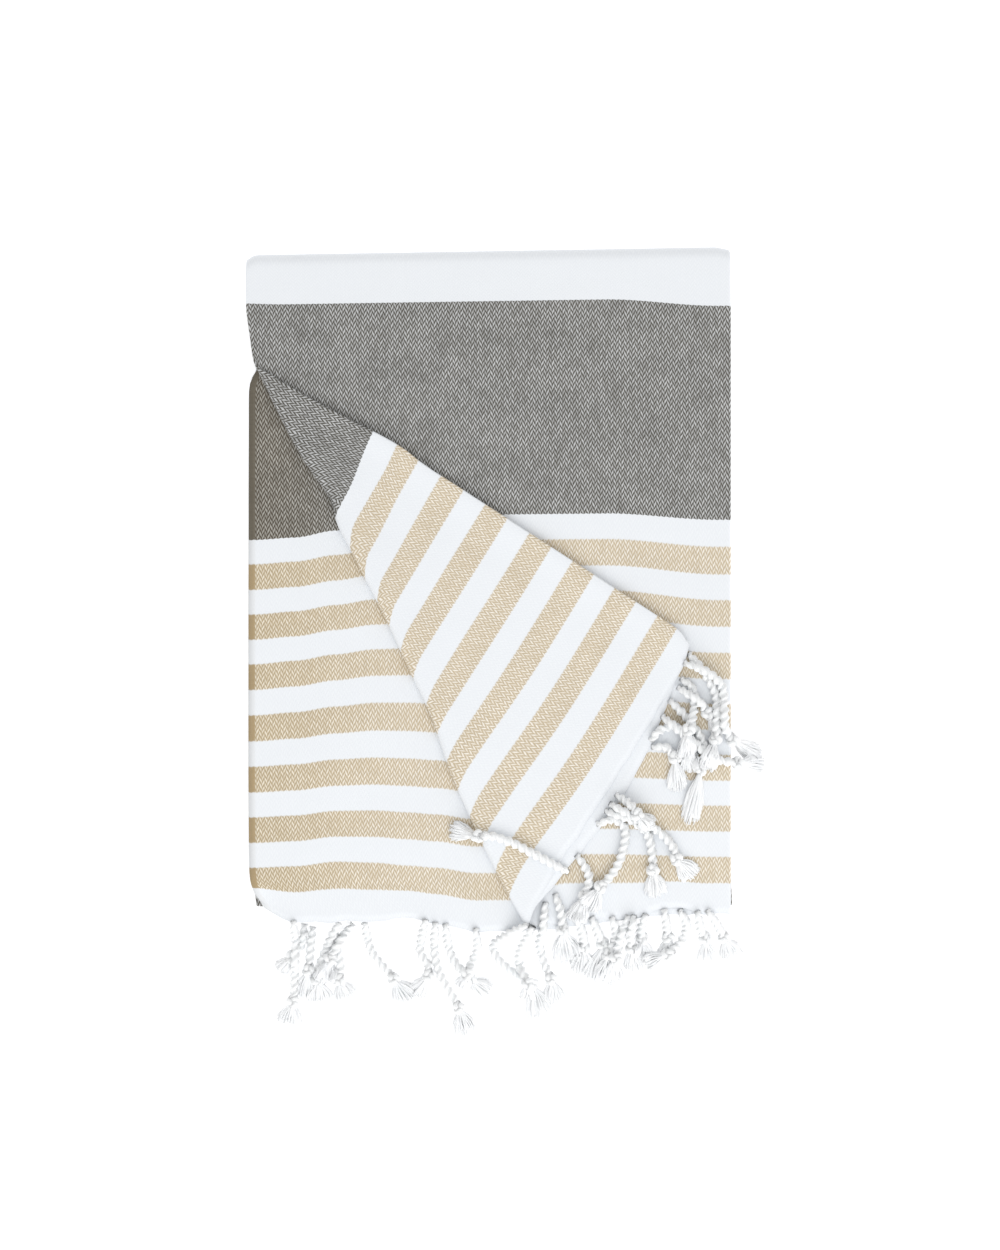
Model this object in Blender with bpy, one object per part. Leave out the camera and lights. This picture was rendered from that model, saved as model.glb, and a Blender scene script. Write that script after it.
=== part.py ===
"""Folded hammam towel with one corner turned back, and its knotted fringe.

The cloth is one flat slab, folded by a function: in three across, then in four along, with the
lower left corner of the top strip turned back over a soft crease. X is across the folded towel,
Y runs from the open hem up to the top fold, and Z is up from the surface that it lies on.
Sizes are in millimetres, and turn into metres where a point is placed.
"""
import math

import bmesh
import bpy
from mathutils import Vector

METRES = 0.001

# ---- Cloth and folded stack --------------------------------------------------------------------
THICK = 1.0                     # woven cotton with its nap
PLY = 1.4                       # from one ply to the next inside a strip
STRIP = 4.4                     # from one strip of three plies to the next
WIDTH = 1000.0                  # cloth, selvage to selvage
RIGHT_EDGE = 167.0              # outside of the fold that joins the lowest and the top ply
TOP_EDGE = 459.5                # outside of the top fold, at the middle
TOP_TILT = 0.0145               # the top fold climbs this much for each millimetre to the right
HEM_RIGHT = 2.0                 # hem of the top strip at its right fold
HEM_TURNED = -6.0               # hem of its two upper plies where the corner turns back
HEM_SELVAGE = -1.0              # hem of the lowest ply at its free left edge
FREE_EDGE_ROOM = 4.0            # the middle ply's free edge stays this far inside the fold
BOTTOM_FOLD = 11.0              # centre of the fold at the foot of the two lowest strips
HEM_INNER = 96.0                # hem of the hidden end, well inside the stack
FOLD_INSIDE = 2.2               # the lower strips' left fold lies this far inside that edge
SWELL_FADE = 45.0               # the top strip's swells fade out over this length at the top
FLOOR_SHIFT = (-8.4, -189.6)    # from the drawing's zero to the middle of the part's box

# Free left edge of the lowest ply, which slips in under the turned corner's apex.
SELVAGE = (             # height, x
    (0.0, -165.6),
    (120.0, -166.2),
    (358.0, -166.0),
    (366.0, -165.0),
    (373.0, -162.0),
    (377.0, -159.5),
    (405.0, -159.5),
    (430.0, -163.0),
    (450.0, -165.0),
)

# ---- Turned corner -----------------------------------------------------------------------------
APEX = Vector((-161.5, 387.0))      # where the crease leaves the left fold
TIP = Vector((26.0, -6.0))          # where it meets the hem
CORNER = Vector((138.0, 188.6))     # where the towel's corner comes to lie
ROLL_HALF = 6.0                     # half of the cloth that bends round the crease
ROLL_OUT = 3.5                      # inner ply's reach past the bend's axis
ROLL_RISE = 2.3                     # inner ply's rise over that axis at the crease
ROLL_FLAT = 0.75                    # the same at the apex, and once the corner has settled
ROLL_CROWD = 1.15                   # columns crowd into this many times the bent width
CROWD_ROOM = 4.0                    # and stay this far from the left fold
APEX_REACH = 90.0                   # the roll has its full height this far from the apex
SETTLE = 24.0                       # how far from the crease the corner settles
DRAWN_REACH = 60.0                  # how far from it the crease's bends draw the corner along
EDGE_LIFT = 2.2                     # the turned edge stands this much proud
EDGE_SPREAD = 14.0                  # over this width
EDGE_START = 30.0                   # and from this far past the crease

# The crease, which bends a little this way and that.
CREASE = (              # height, x
    (-40.0, 42.0),
    (-4.8, 24.2),
    (22.1, 9.3),
    (60.7, -9.7),
    (99.4, -26.9),
    (139.4, -40.9),
    (176.6, -58.3),
    (210.5, -74.0),
    (242.2, -89.7),
    (260.8, -96.0),
    (285.0, -107.0),
    (319.5, -130.8),
    (381.6, -162.5),
    (470.0, -206.0),
)
# How far a height on the flat ply lies from the hem on the turned corner.
LAID_RUNS = (           # height, run from the hem
    (HEM_TURNED, 0.0),
    (32.0, 24.7),
    (282.0, 266.0),
    (387.0, 357.5),
)

# Left fold of the upper plies, where it would lie with the corner laid flat again.
LEFT_FOLD = (           # height, x
    (-40.0, -202.0),
    (387.0, -161.6),
    (393.0, -162.3),
    (407.0, -164.4),
    (423.0, -166.5),
    (470.0, -166.8),
)
# Hem of the lowest ply, which wanders. It turns at the right side of some of its strands.
UNDER_WANDER = (        # strand number, height
    (0, -3.5),
    (2, -3.0),
    (4, 0.0),
    (5, -5.0),
    (7, -8.0),
    (9, -3.0),
    (11, 0.5),
)
# Soft swells in the top strip, which its plies share.
SWELLS = (              # x, y, long, broad, turn in degrees, height
    (95.0, 330.0, 130.0, 52.0, 24.0, 0.9),
    (-30.0, 390.0, 150.0, 48.0, 4.0, 0.7),
    (120.0, 110.0, 90.0, 50.0, 70.0, 0.9),
    (-110.0, 100.0, 100.0, 48.0, 82.0, 1.0),
)

# ---- Grid of the slab --------------------------------------------------------------------------
FRONT_ROWS = ((0.0, 0.66, 10), (0.66, 0.80, 4), (0.80, 0.90, 6), (0.90, 1.0, 3))
RIGHT_CELLS = 4
KEPT_CELLS = 7
ROLL_CELLS = 8
TURNED_CELLS = 9
LEFT_CELLS = 3
OUTER_TURN_CELLS = 6
INNER_TURN_CELLS = 4
HIDDEN_ROWS = (0.0, 0.07, 0.17, 0.20, 1.0)  # shares of a lower strip, from the top fold down

# ---- Fringe ------------------------------------------------------------------------------------
GAP = 0.3
BACKING = 4.0           # depth of the strip that holds the roots
ROOT = 3.4              # width of a strand where it leaves the strip
DROP = 24.0             # a strand comes down from the stack's edge over this length
EDGE_CLEAR = -14.0      # strands that lie on the top strip start down below this height
EDGE_REST = 9.0         # or this far past the right edge
START = 5.0             # and runs straight out over this length first
SETTLE_DOWN = 9.0       # strands on the top strip come to lie on it over this length
SWAY = 2.0              # degrees that strands lean one way and then the other
SWAY_PHASE = 1.9        # from one strand to the next, in radians
UNEVEN = 0.06           # strands differ in length by this share
UNEVEN_PHASE = 2.3
UNEVEN_START = 0.7
ROUTE_STEPS = 24
HEM_PITCH = 24.3        # from one strand to the next along a ply
UNDER_FIRST = -157.0    # first strand of the lowest ply
STRAND = (              # share of length, width, height
    (0.10, 3.8, 2.6),
    (0.40, 4.4, 3.8),
    (0.66, 4.4, 3.8),
    (0.75, 6.2, 5.8),
    (0.83, 4.8, 4.2),
    (1.00, 6.6, 2.4),
)
PRESSED_STRAND = (      # the same for strands that lie pressed inside the stack
    (0.5, 3.8, 1.0),
    (1.0, 4.6, 1.0),
)
# Stretches of hem: node, ply, first root and count along it, length, first and last heading
# in degrees from straight out of the hem, and how it lies.
STRETCHES = (
    ("fringe_under", "under", UNDER_FIRST, 14, 68.0, -4.0, 10.0, "hangs"),
    ("fringe_right_top", "top", 98.2, 3, 64.0, 8.0, -6.0, "hangs"),
    ("fringe_corner_top", "middle", -189.0, 7, 74.0, -2.0, -26.0, "lies"),
    ("fringe_corner_under", "top", -177.0, 7, 56.0, -2.0, -26.0, "lies"),
    ("fringe_tip", "middle", -12.0, 1, 47.0, -30.0, -66.0, "lies"),
    ("fringe_inner_top", "inner under", -157.0, 14, 66.0, 0.0, 0.0, "pressed"),
    ("fringe_inner_middle", "inner middle", -157.0, 13, 66.0, 0.0, 0.0, "pressed"),
    ("fringe_inner_under", "inner top", -157.0, 14, 66.0, 0.0, 0.0, "pressed"),
)

# ---- Finishes ----------------------------------------------------------------------------------
CLOTH_COLOUR = (0.62, 0.60, 0.56, 1.0)
FRINGE_COLOUR = (0.86, 0.87, 0.88, 1.0)
COTTON_ROUGHNESS = 0.92
SHARP_ANGLE = math.radians(50.0)

# ---- Worked out from the sizes above -----------------------------------------------------------
LEVELS = [THICK / 2 + PLY + STRIP * step for step in range(4)]
OUTER_RADIUS = 1.5 * STRIP
INNER_RADIUS = 0.5 * STRIP
FOLD_CENTRE = RIGHT_EDGE - PLY - THICK / 2
TURN_CENTRE = TOP_EDGE - OUTER_RADIUS - PLY - THICK / 2
STACK_TOP = LEVELS[3] + PLY + THICK / 2
LEAN = math.atan2((TIP - APEX).x, (APEX - TIP).y)
ACROSS = Vector((math.cos(LEAN), math.sin(LEAN)))
EDGE_WAY = (APEX - CORNER).normalized()
HEM_WAY = (TIP - CORNER).normalized()
CROWD = ROLL_CROWD * ROLL_HALF / math.cos(LEAN)
LEFT_EDGE = SELVAGE[0][1]
UPPER_PLIES = WIDTH - (FOLD_CENTRE - LEFT_EDGE) - 1.5 * math.pi * PLY
UNDER_HEM = [(LEFT_EDGE, HEM_SELVAGE)]
for strand_number, hem_y in UNDER_WANDER:
    UNDER_HEM.append((UNDER_FIRST + HEM_PITCH * strand_number + ROOT / 2, hem_y))
UNDER_HEM.append((FOLD_CENTRE, HEM_RIGHT))
UPPER_HEM = ((TIP.x + CROWD, HEM_TURNED), (FOLD_CENTRE, HEM_RIGHT))


def ease(share):
    """Smooth step from 0 to 1 while share goes from 0 to 1."""
    share = min(max(share, 0.0), 1.0)
    return share * share * (3.0 - 2.0 * share)


def read_off(table, key):
    """Straight interpolation in a table of (key, value) rows, held at its ends."""
    if key <= table[0][0]:
        return table[0][1]
    for (low, first), (high, last) in zip(table, table[1:]):
        if key <= high:
            return first + (last - first) * (key - low) / (high - low)
    return table[-1][1]


def read_smooth(table, key):
    """Reading on a smooth curve through a table of (key, value) rows, held at its ends."""
    at = 0
    while at < len(table) - 2 and key > table[at + 1][0]:
        at += 1
    (low, first), (high, last) = table[at], table[at + 1]
    before = table[max(at - 1, 0)]
    after = table[min(at + 2, len(table) - 1)]
    rise_in = (last - before[1]) / (high - before[0]) * (high - low)
    rise_out = (after[1] - first) / (after[0] - low) * (high - low)
    share = min(max((key - low) / (high - low), 0.0), 1.0)
    rest = 1.0 - share
    value = first * (1.0 + 2.0 * share) * rest ** 2 + last * share ** 2 * (3.0 - 2.0 * share)
    return value + rise_in * share * rest ** 2 - rise_out * share ** 2 * rest


def swell(x, y):
    """Height of the soft swells, which fade out before the top fold."""
    height = 0.0
    for mid_x, mid_y, long, broad, turn, rise in SWELLS:
        way = Vector((math.cos(math.radians(turn)), math.sin(math.radians(turn))))
        off = Vector((x - mid_x, y - mid_y))
        length = off.dot(way) / long
        breadth = (off.y * way.x - off.x * way.y) / broad
        height += rise * math.exp(-length * length - breadth * breadth)
    return height * ease((TURN_CENTRE - y) / SWELL_FADE)


# ---- The turned corner -------------------------------------------------------------------------
def crease_x(y):
    """Where the crease crosses height y on the ply that it folds."""
    return read_smooth(CREASE, y)


def laid_back(x, y):
    """Plan position on the turned corner of the point at x, y of the flat ply."""
    run = read_off(LAID_RUNS, y) + min(y - HEM_TURNED, 0.0)
    return CORNER + EDGE_WAY * run + HEM_WAY * (x - read_off(LEFT_FOLD, y))


def turn_back(x, y, height):
    """Turn the corner of the two upper plies back; height is over the strip's middle."""
    here = Vector((x, y))
    past = (crease_x(y) - x) * math.cos(LEAN)
    if past <= -ROLL_HALF:
        return here, height
    bend = min(past / ROLL_HALF, 1.0) * math.pi / 2
    outside = PLY - height
    foot_y = y + past * math.sin(LEAN)
    foot = Vector((crease_x(foot_y), foot_y))
    from_apex = ease((APEX - foot).length / APEX_REACH)
    roll_rise = ROLL_FLAT + (ROLL_RISE - ROLL_FLAT) * from_apex
    if past < ROLL_HALF:
        reach = (ROLL_OUT + outside) * math.cos(bend) - ROLL_HALF
        share = 0.5 + 0.5 * math.sin(bend)
        raised = PLY + roll_rise + (roll_rise + outside) * math.sin(bend)
    else:
        reach = -past
        share = 1.0
        settled = math.exp(-((past - ROLL_HALF) / SETTLE) ** 2)
        roll_rise = ROLL_FLAT + (roll_rise - ROLL_FLAT) * settled
        raised = PLY + 2.0 * roll_rise + outside
        edge = math.exp(-((x - read_off(LEFT_FOLD, y)) / EDGE_SPREAD) ** 2)
        raised += EDGE_LIFT * edge * from_apex * ease((past - ROLL_HALF) / EDGE_START)
    kept = here + ACROSS * (past - reach)
    source = here + ACROSS * (past + reach)
    drawn = (foot - laid_back(*foot)) * math.exp(-(reach / DRAWN_REACH) ** 2)
    turned = laid_back(*source) + drawn
    return kept.lerp(turned, share), raised


# ---- Columns, across the cloth -----------------------------------------------------------------
def columns():
    """Name every column of the slab by its panel and its place in it."""
    found = [("under", "hem row", x) for x, height in UNDER_HEM[:-1]]
    found += [("right", "turn", cell / RIGHT_CELLS) for cell in range(RIGHT_CELLS)]
    upper = [("kept", 1.0 - cell / KEPT_CELLS) for cell in range(KEPT_CELLS)]
    upper += [("roll", 1.0 - 2.0 * cell / ROLL_CELLS) for cell in range(ROLL_CELLS)]
    upper += [("turned", 1.0 - cell / TURNED_CELLS) for cell in range(TURNED_CELLS)]
    found += [("top", zone, share) for zone, share in upper]
    found += [("left", "turn", cell / LEFT_CELLS) for cell in range(LEFT_CELLS)]
    back = [("turned", cell / TURNED_CELLS) for cell in range(TURNED_CELLS)]
    back += [("roll", -1.0 + 2.0 * cell / ROLL_CELLS) for cell in range(ROLL_CELLS)]
    back += [("kept", cell / KEPT_CELLS) for cell in range(KEPT_CELLS + 1)]
    found += [("middle", zone, share) for zone, share in back]
    return found


def front_edges(y):
    """x of the top strip's free left edge and of its left fold."""
    return read_off(SELVAGE, y), read_off(LEFT_FOLD, y)


def lower_edges(y):
    """x of the lower strips' free left edge and of their left fold, which meets the top one's."""
    if y >= TURN_CENTRE:
        return front_edges(y)
    return read_off(SELVAGE, y), read_off(SELVAGE, y) + FOLD_INSIDE


def crowded_x(zone, share, y, fold, far):
    """Columns of the upper plies crowd together where the crease crosses them."""
    crease = max(crease_x(y), fold + CROWD + CROWD_ROOM)
    if zone == "turned":
        return fold + share * (crease - CROWD - fold)
    if zone == "roll":
        return crease + share * CROWD
    return crease + CROWD + share * (far - crease - CROWD)


def section(panel, zone, share, y, edges, side):
    """Point of the folded section, as x and height over the strip's middle; side is -1 or 1."""
    skin = side * THICK / 2
    selvage, fold = edges
    if panel == "under":
        off_fold = (FOLD_CENTRE - share) / (FOLD_CENTRE - LEFT_EDGE)
        return share + (selvage - LEFT_EDGE) * off_fold, -PLY - skin
    if panel == "right":
        turn = math.pi * share
        radius = PLY + skin
        return FOLD_CENTRE + radius * math.sin(turn), -radius * math.cos(turn)
    if panel == "top":
        return crowded_x(zone, share, y, fold, FOLD_CENTRE), PLY + skin
    if panel == "left":
        turn = math.pi * share
        radius = PLY / 2 + skin
        return fold - radius * math.sin(turn), PLY / 2 + radius * math.cos(turn)
    free_edge = min(fold + UPPER_PLIES - (FOLD_CENTRE - fold), FOLD_CENTRE - FREE_EDGE_ROOM)
    return crowded_x(zone, share, y, fold, free_edge), -skin


# ---- Rows, along the cloth ---------------------------------------------------------------------
def rows():
    """Name every row of the slab by its strip or fold and its place in it."""
    found = []
    for start, end, count in FRONT_ROWS:
        found += [("front", start + (end - start) * cell / count) for cell in range(count)]
    found += [("outer turn", cell / OUTER_TURN_CELLS) for cell in range(OUTER_TURN_CELLS)]
    found += [("floor strip", share) for share in HIDDEN_ROWS[:-1]]
    found += [("foot turn", cell / INNER_TURN_CELLS) for cell in range(INNER_TURN_CELLS)]
    found += [("second strip", 1.0 - share) for share in HIDDEN_ROWS[:0:-1]]
    found += [("inner turn", cell / INNER_TURN_CELLS) for cell in range(INNER_TURN_CELLS)]
    found += [("third strip", share) for share in HIDDEN_ROWS]
    return found


def hem_height(panel, x):
    """Where the top strip's hem lies on a ply at x."""
    if panel == "under":
        return read_off(UNDER_HEM, x)
    return read_off(UPPER_HEM, x)


def place_front(panel, x, y, height):
    """Place a point of the top strip."""
    spot = Vector((x, y))
    if panel != "under":
        spot, height = turn_back(x, y, height)
    return Vector((spot.x, spot.y, LEVELS[3] + height + swell(spot.x, spot.y)))


def place(column, row, side):
    """Fold a point of the flat slab, named by its column, row and side, into its place."""
    panel, zone, across = column
    part, along = row
    top = TURN_CENTRE
    if part == "front":
        y = top * along
        for closer in range(3):
            x, height = section(panel, zone, across, y, front_edges(y), side)
            hem = hem_height(panel, x)
            y = hem + (top - hem) * along
        return place_front(panel, x, y + TOP_TILT * x * along, height)
    down = {"floor strip": along, "foot turn": 1.0, "second strip": 1.0 - along}.get(part, 0.0)
    y = top + (BOTTOM_FOLD - top) * down
    if part == "third strip":
        y = top + (HEM_INNER - top) * along
    x, height = section(panel, zone, across, top, lower_edges(y), side)
    top += TOP_TILT * x
    turn = math.pi * along
    if part == "outer turn":
        radius = OUTER_RADIUS + height
        middle = (LEVELS[0] + LEVELS[3]) / 2
        return Vector((x, top + radius * math.sin(turn), middle + radius * math.cos(turn)))
    if part == "floor strip":
        return Vector((x, top + (BOTTOM_FOLD - top) * along, LEVELS[0] - height))
    if part == "foot turn":
        radius = INNER_RADIUS + height
        middle = (LEVELS[0] + LEVELS[1]) / 2
        return Vector((x, BOTTOM_FOLD - radius * math.sin(turn), middle - radius * math.cos(turn)))
    if part == "second strip":
        return Vector((x, BOTTOM_FOLD + (top - BOTTOM_FOLD) * along, LEVELS[1] + height))
    if part == "inner turn":
        radius = INNER_RADIUS - height
        middle = (LEVELS[1] + LEVELS[2]) / 2
        return Vector((x, top + radius * math.sin(turn), middle - radius * math.cos(turn)))
    return Vector((x, top + (HEM_INNER - top) * along, LEVELS[2] - height))


# ---- Solids ------------------------------------------------------------------------------------
def flat_slab(across, along):
    """Make a closed flat slab of cells; every point's place in it is kept by column, row, side."""
    slab = bmesh.new()
    bmesh.ops.create_grid(slab, x_segments=across, y_segments=along, size=0.5)
    raised = bmesh.ops.extrude_face_region(slab, geom=slab.faces[:])
    for piece in raised["geom"]:
        if isinstance(piece, bmesh.types.BMVert):
            piece.co.z = 1.0
    bmesh.ops.recalc_face_normals(slab, faces=slab.faces[:])
    stations = {}
    for point in slab.verts:
        column = round((point.co.x + 0.5) * across)
        row = round((point.co.y + 0.5) * along)
        stations[point] = (column, row, 1 if point.co.z > 0.5 else -1)
    return slab, stations


def finish_solid(slab, name, colour, collection):
    """Turn a folded slab into an object in metres, with its faces pointing out."""
    for point in slab.verts:
        point.co.x = (point.co.x + FLOOR_SHIFT[0]) * METRES
        point.co.y = (point.co.y + FLOOR_SHIFT[1]) * METRES
        point.co.z *= METRES
    if slab.calc_volume(signed=True) < 0.0:
        bmesh.ops.reverse_faces(slab, faces=slab.faces[:])
    bmesh.ops.triangulate(slab, faces=slab.faces[:], quad_method="SHORT_EDGE")
    mesh = bpy.data.meshes.new(name)
    slab.to_mesh(mesh)
    slab.free()
    mesh.shade_smooth()
    mesh.set_sharp_from_angle(angle=SHARP_ANGLE)
    solid = bpy.data.objects.new(name, mesh)
    material = bpy.data.materials.new(name + "_cotton")
    material.use_nodes = True
    shader = material.node_tree.nodes["Principled BSDF"]
    shader.inputs["Base Color"].default_value = colour
    shader.inputs["Roughness"].default_value = COTTON_ROUGHNESS
    shader.inputs["Metallic"].default_value = 0.0
    mesh.materials.append(material)
    collection.objects.link(solid)
    return solid


def make_cloth(collection):
    """Fold the one slab of cloth."""
    names = columns()
    steps = rows()
    slab, stations = flat_slab(len(names) - 1, len(steps) - 1)
    for point, (column, row, side) in stations.items():
        point.co = place(names[column], steps[row], side)
    return finish_solid(slab, "towel_cloth", CLOTH_COLOUR, collection)


# ---- Fringe ------------------------------------------------------------------------------------
def place_hem(ply, x, out, side):
    """Place a point that lies out beyond a hem, at x of its ply."""
    skin = side * THICK / 2
    if ply == "under":
        return place_front("under", x, hem_height("under", x) - out, -PLY - skin)
    if ply == "top":
        return place_front("top", x, hem_height("top", x) - out, PLY + skin)
    if ply == "middle":
        return place_front("middle", x, hem_height("middle", x) - out, -skin)
    height = {"inner under": PLY, "inner middle": 0.0, "inner top": -PLY}[ply]
    return Vector((x, HEM_INNER - out, LEVELS[2] + height + skin))


def resting_height(spot):
    """Underside of a strand that lies on the top strip, or has slid down past its edge."""
    past = max(spot.x - RIGHT_EDGE - EDGE_REST, EDGE_CLEAR - spot.y, 0.0)
    if past >= DROP:
        return 0.0
    top = STACK_TOP + GAP + swell(spot.x, spot.y)
    return top * (1.0 - ease(past / DROP))


def strand_route(ply, x, number, length, first, last):
    """Plan points, headings and lengths run of one strand, from its root outward."""
    root = place_hem(ply, x, GAP + BACKING, 0)
    way = root - place_hem(ply, x, GAP, 0)
    heading = math.atan2(way.y, way.x)
    sway = SWAY * math.sin(SWAY_PHASE * number + x)
    spot = Vector((root.x, root.y))
    route = [(spot.copy(), heading)]
    for step in range(ROUTE_STEPS):
        share = (step + 0.5) / ROUTE_STEPS
        turn = math.radians(first + sway + (last - first - 2.0 * sway) * share) * ease(3.0 * share)
        aim = heading + turn
        spot = spot + Vector((math.cos(aim), math.sin(aim))) * (length / ROUTE_STEPS)
        route.append((spot.copy(), aim))
    return root, route


def grow_strand(slab, face, root, route, length, lay):
    """Draw a strand out of one root face, a section at a time."""
    profile = PRESSED_STRAND if lay == "pressed" else STRAND
    aim = route[0][1]
    beside = Vector((-math.sin(aim), math.cos(aim), 0.0))
    for share, width, height in profile:
        spot, new_aim = route[round(share * (len(route) - 1))]
        grown = bmesh.ops.extrude_discrete_faces(slab, faces=[face])
        face = grown["faces"][0]
        face_centre = face.calc_center_median()
        new_beside = Vector((-math.sin(new_aim), math.cos(new_aim), 0.0))
        if lay == "pressed":
            under = root.z - height / 2
        elif lay == "hangs":
            under = (root.z - THICK / 2) * (1.0 - ease((share * length - START) / DROP))
        else:
            start = root.z - THICK / 2
            under = resting_height(spot)
            under = start + (under - start) * ease(share * length / SETTLE_DOWN)
        centre = Vector((spot.x, spot.y, under + height / 2))
        for point in face.verts:
            off = point.co - face_centre
            sideways = width / 2 if off.dot(beside) > 0.0 else -width / 2
            upward = height / 2 if off.z > 0.0 else -height / 2
            point.co = centre + new_beside * sideways + Vector((0.0, 0.0, upward))
        beside = new_beside


def make_fringe(name, ply, first_root, count, length, first, last, lay, collection):
    """Make one backing strip with its strands."""
    roots = [first_root + HEM_PITCH * number for number in range(count)]
    edges = [roots[0] - HEM_PITCH / 3]
    for x in roots:
        edges += [x - ROOT / 2, x + ROOT / 2]
    edges.append(roots[-1] + HEM_PITCH / 3)
    slab, stations = flat_slab(len(edges) - 1, 1)
    root_faces = {}
    for face in slab.faces:
        places = [stations[point] for point in face.verts]
        lowest = min(place[0] for place in places)
        at_outer_edge = all(place[1] == 0 for place in places)
        if at_outer_edge and lowest % 2 == 1:
            root_faces[(lowest - 1) // 2] = face
    for point, (column, row, side) in stations.items():
        out = GAP if row else GAP + BACKING
        point.co = place_hem(ply, edges[column], out, side)
    for number, x in enumerate(roots):
        own_length = length * (1.0 + UNEVEN * math.sin(UNEVEN_PHASE * number + UNEVEN_START))
        root, route = strand_route(ply, x, number, own_length, first, last)
        grow_strand(slab, root_faces[number], root, route, own_length, lay)
    return finish_solid(slab, name, FRINGE_COLOUR, collection)


def main():
    """Clear the scene and make the towel."""
    for leftover in list(bpy.data.objects):
        bpy.data.objects.remove(leftover, do_unlink=True)
    collection = bpy.data.collections.new("hammam_towel")
    bpy.context.scene.collection.children.link(collection)
    make_cloth(collection)
    for stretch in STRETCHES:
        make_fringe(*stretch, collection)


main()
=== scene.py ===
"""Hammam towel: a folded stack with one corner turned back, and its knotted fringe.

The towel is drawn in millimetres: X across the folded stack, Y up from its open hem to the top
fold and Z up from the surface that it lies on. place_in_frame turns a drawn point into metres.
"""

import logging
import math
import random
from bisect import bisect_left
from dataclasses import dataclass, field
from enum import Enum

import bpy
import numpy as np
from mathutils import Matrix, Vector, noise
from mathutils.bvhtree import BVHTree


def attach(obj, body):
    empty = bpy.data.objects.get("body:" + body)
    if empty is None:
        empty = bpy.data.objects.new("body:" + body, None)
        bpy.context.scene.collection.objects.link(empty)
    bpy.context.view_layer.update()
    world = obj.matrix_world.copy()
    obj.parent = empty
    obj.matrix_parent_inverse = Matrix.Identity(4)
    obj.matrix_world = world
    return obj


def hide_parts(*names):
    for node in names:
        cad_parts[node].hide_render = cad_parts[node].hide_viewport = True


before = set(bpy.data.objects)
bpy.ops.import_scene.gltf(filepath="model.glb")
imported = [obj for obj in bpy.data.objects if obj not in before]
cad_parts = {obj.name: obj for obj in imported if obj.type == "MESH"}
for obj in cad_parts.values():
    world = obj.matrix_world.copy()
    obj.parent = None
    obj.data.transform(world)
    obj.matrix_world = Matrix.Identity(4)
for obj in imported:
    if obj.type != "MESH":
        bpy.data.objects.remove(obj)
log = logging.getLogger("hammam_towel")

METRES = 0.001
DRAWING_SHIFT = Vector((-8.4, -189.6, 0.0))     # from the drawing's zero to the frame's
WHITE = (1.0, 1.0, 1.0, 1.0)
DOWN = Vector((0.0, 0.0, -1.0))
MERGE = 0.00001                     # points closer than this, in metres, become one
Table = tuple[tuple[float, ...], ...]       # a comment at each table names its columns


# ---- Small helpers -----------------------------------------------------------------------------
def place_in_frame(point: Vector) -> Vector:
    """Turn a drawn point in millimetres into a point of the frame in metres."""
    return (point + DRAWING_SHIFT) * METRES


def ease(share: float) -> float:
    """Smooth step from 0 to 1 while share goes from 0 to 1."""
    share = min(max(share, 0.0), 1.0)
    return share * share * (3.0 - 2.0 * share)


def bell(distance: float, spread: float) -> float:
    """Smooth hump of height 1 that fades out at about twice its spread."""
    return math.exp(-(distance / spread) ** 2)


def read_off(table: Table, key: float, column: int = 1) -> float:
    """Read a column of a table by its first column.

    Args:
        table: rows in rising order of their first value.
        key: value to look up in the first column.
        column: column to read.

    Returns:
        The value at key, on a straight line between rows and held at both ends.
    """
    if key <= table[0][0]:
        return table[0][column]
    for low, high in zip(table, table[1:]):
        if key <= high[0]:
            share = (key - low[0]) / (high[0] - low[0])
            return low[column] + (high[column] - low[column]) * share
    return table[-1][column]


def read_smooth(table: Table, key: float) -> float:
    """Read the second column of a table on a smooth curve through its rows.

    Args:
        table: rows in rising order of their first value.
        key: value to look up in the first column, within the table.

    Returns:
        The value at key.
    """
    at = 0
    while at < len(table) - 2 and key > table[at + 1][0]:
        at += 1
    (low, first), (high, last) = table[at], table[at + 1]
    before = table[max(at - 1, 0)]
    after = table[min(at + 2, len(table) - 1)]
    rise_in = (last - before[1]) / (high - before[0]) * (high - low)
    rise_out = (after[1] - first) / (after[0] - low) * (high - low)
    t = min(max((key - low) / (high - low), 0.0), 1.0)
    return (first * (1.0 + 2.0 * t) * (1.0 - t) ** 2 + rise_in * t * (1.0 - t) ** 2
            + last * t * t * (3.0 - 2.0 * t) + rise_out * t * t * (t - 1.0))


def linear(hex_colour: str) -> tuple[float, float, float, float]:
    """Turn an sRGB hex colour into a linear one with full alpha."""
    shares = [int(hex_colour[at:at + 2], 16) / 255.0 for at in (1, 3, 5)]
    return (*[s / 12.92 if s <= 0.04045 else ((s + 0.055) / 1.055) ** 2.4 for s in shares], 1.0)


def add_node(tree: bpy.types.NodeTree, kind: str, inputs: dict | None = None,
             **settings: object) -> bpy.types.Node:
    """Add a node to a tree.

    Args:
        tree: node tree that takes the node.
        kind: the node's type name.
        inputs: value or output socket for each input, by its name or number.
        settings: properties of the node.

    Returns:
        The new node.
    """
    node = tree.nodes.new(kind)
    for name, value in settings.items():
        setattr(node, name, value)
    for name, value in (inputs or {}).items():
        if isinstance(value, bpy.types.NodeSocket):
            tree.links.new(value, node.inputs[name])
        else:
            node.inputs[name].default_value = value
    return node


def deselect_all() -> None:
    """Leave edit mode and clear the selection."""
    if bpy.context.object and bpy.context.object.mode != "OBJECT":
        bpy.ops.object.mode_set(mode="OBJECT")
    bpy.ops.object.select_all(action="DESELECT")


def make_active(*pieces: bpy.types.Object) -> None:
    """Select these objects alone and make the first one active.

    Args:
        pieces: the objects.
    """
    deselect_all()
    for piece in pieces:
        piece.select_set(True)
    bpy.context.view_layer.objects.active = pieces[0]


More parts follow.
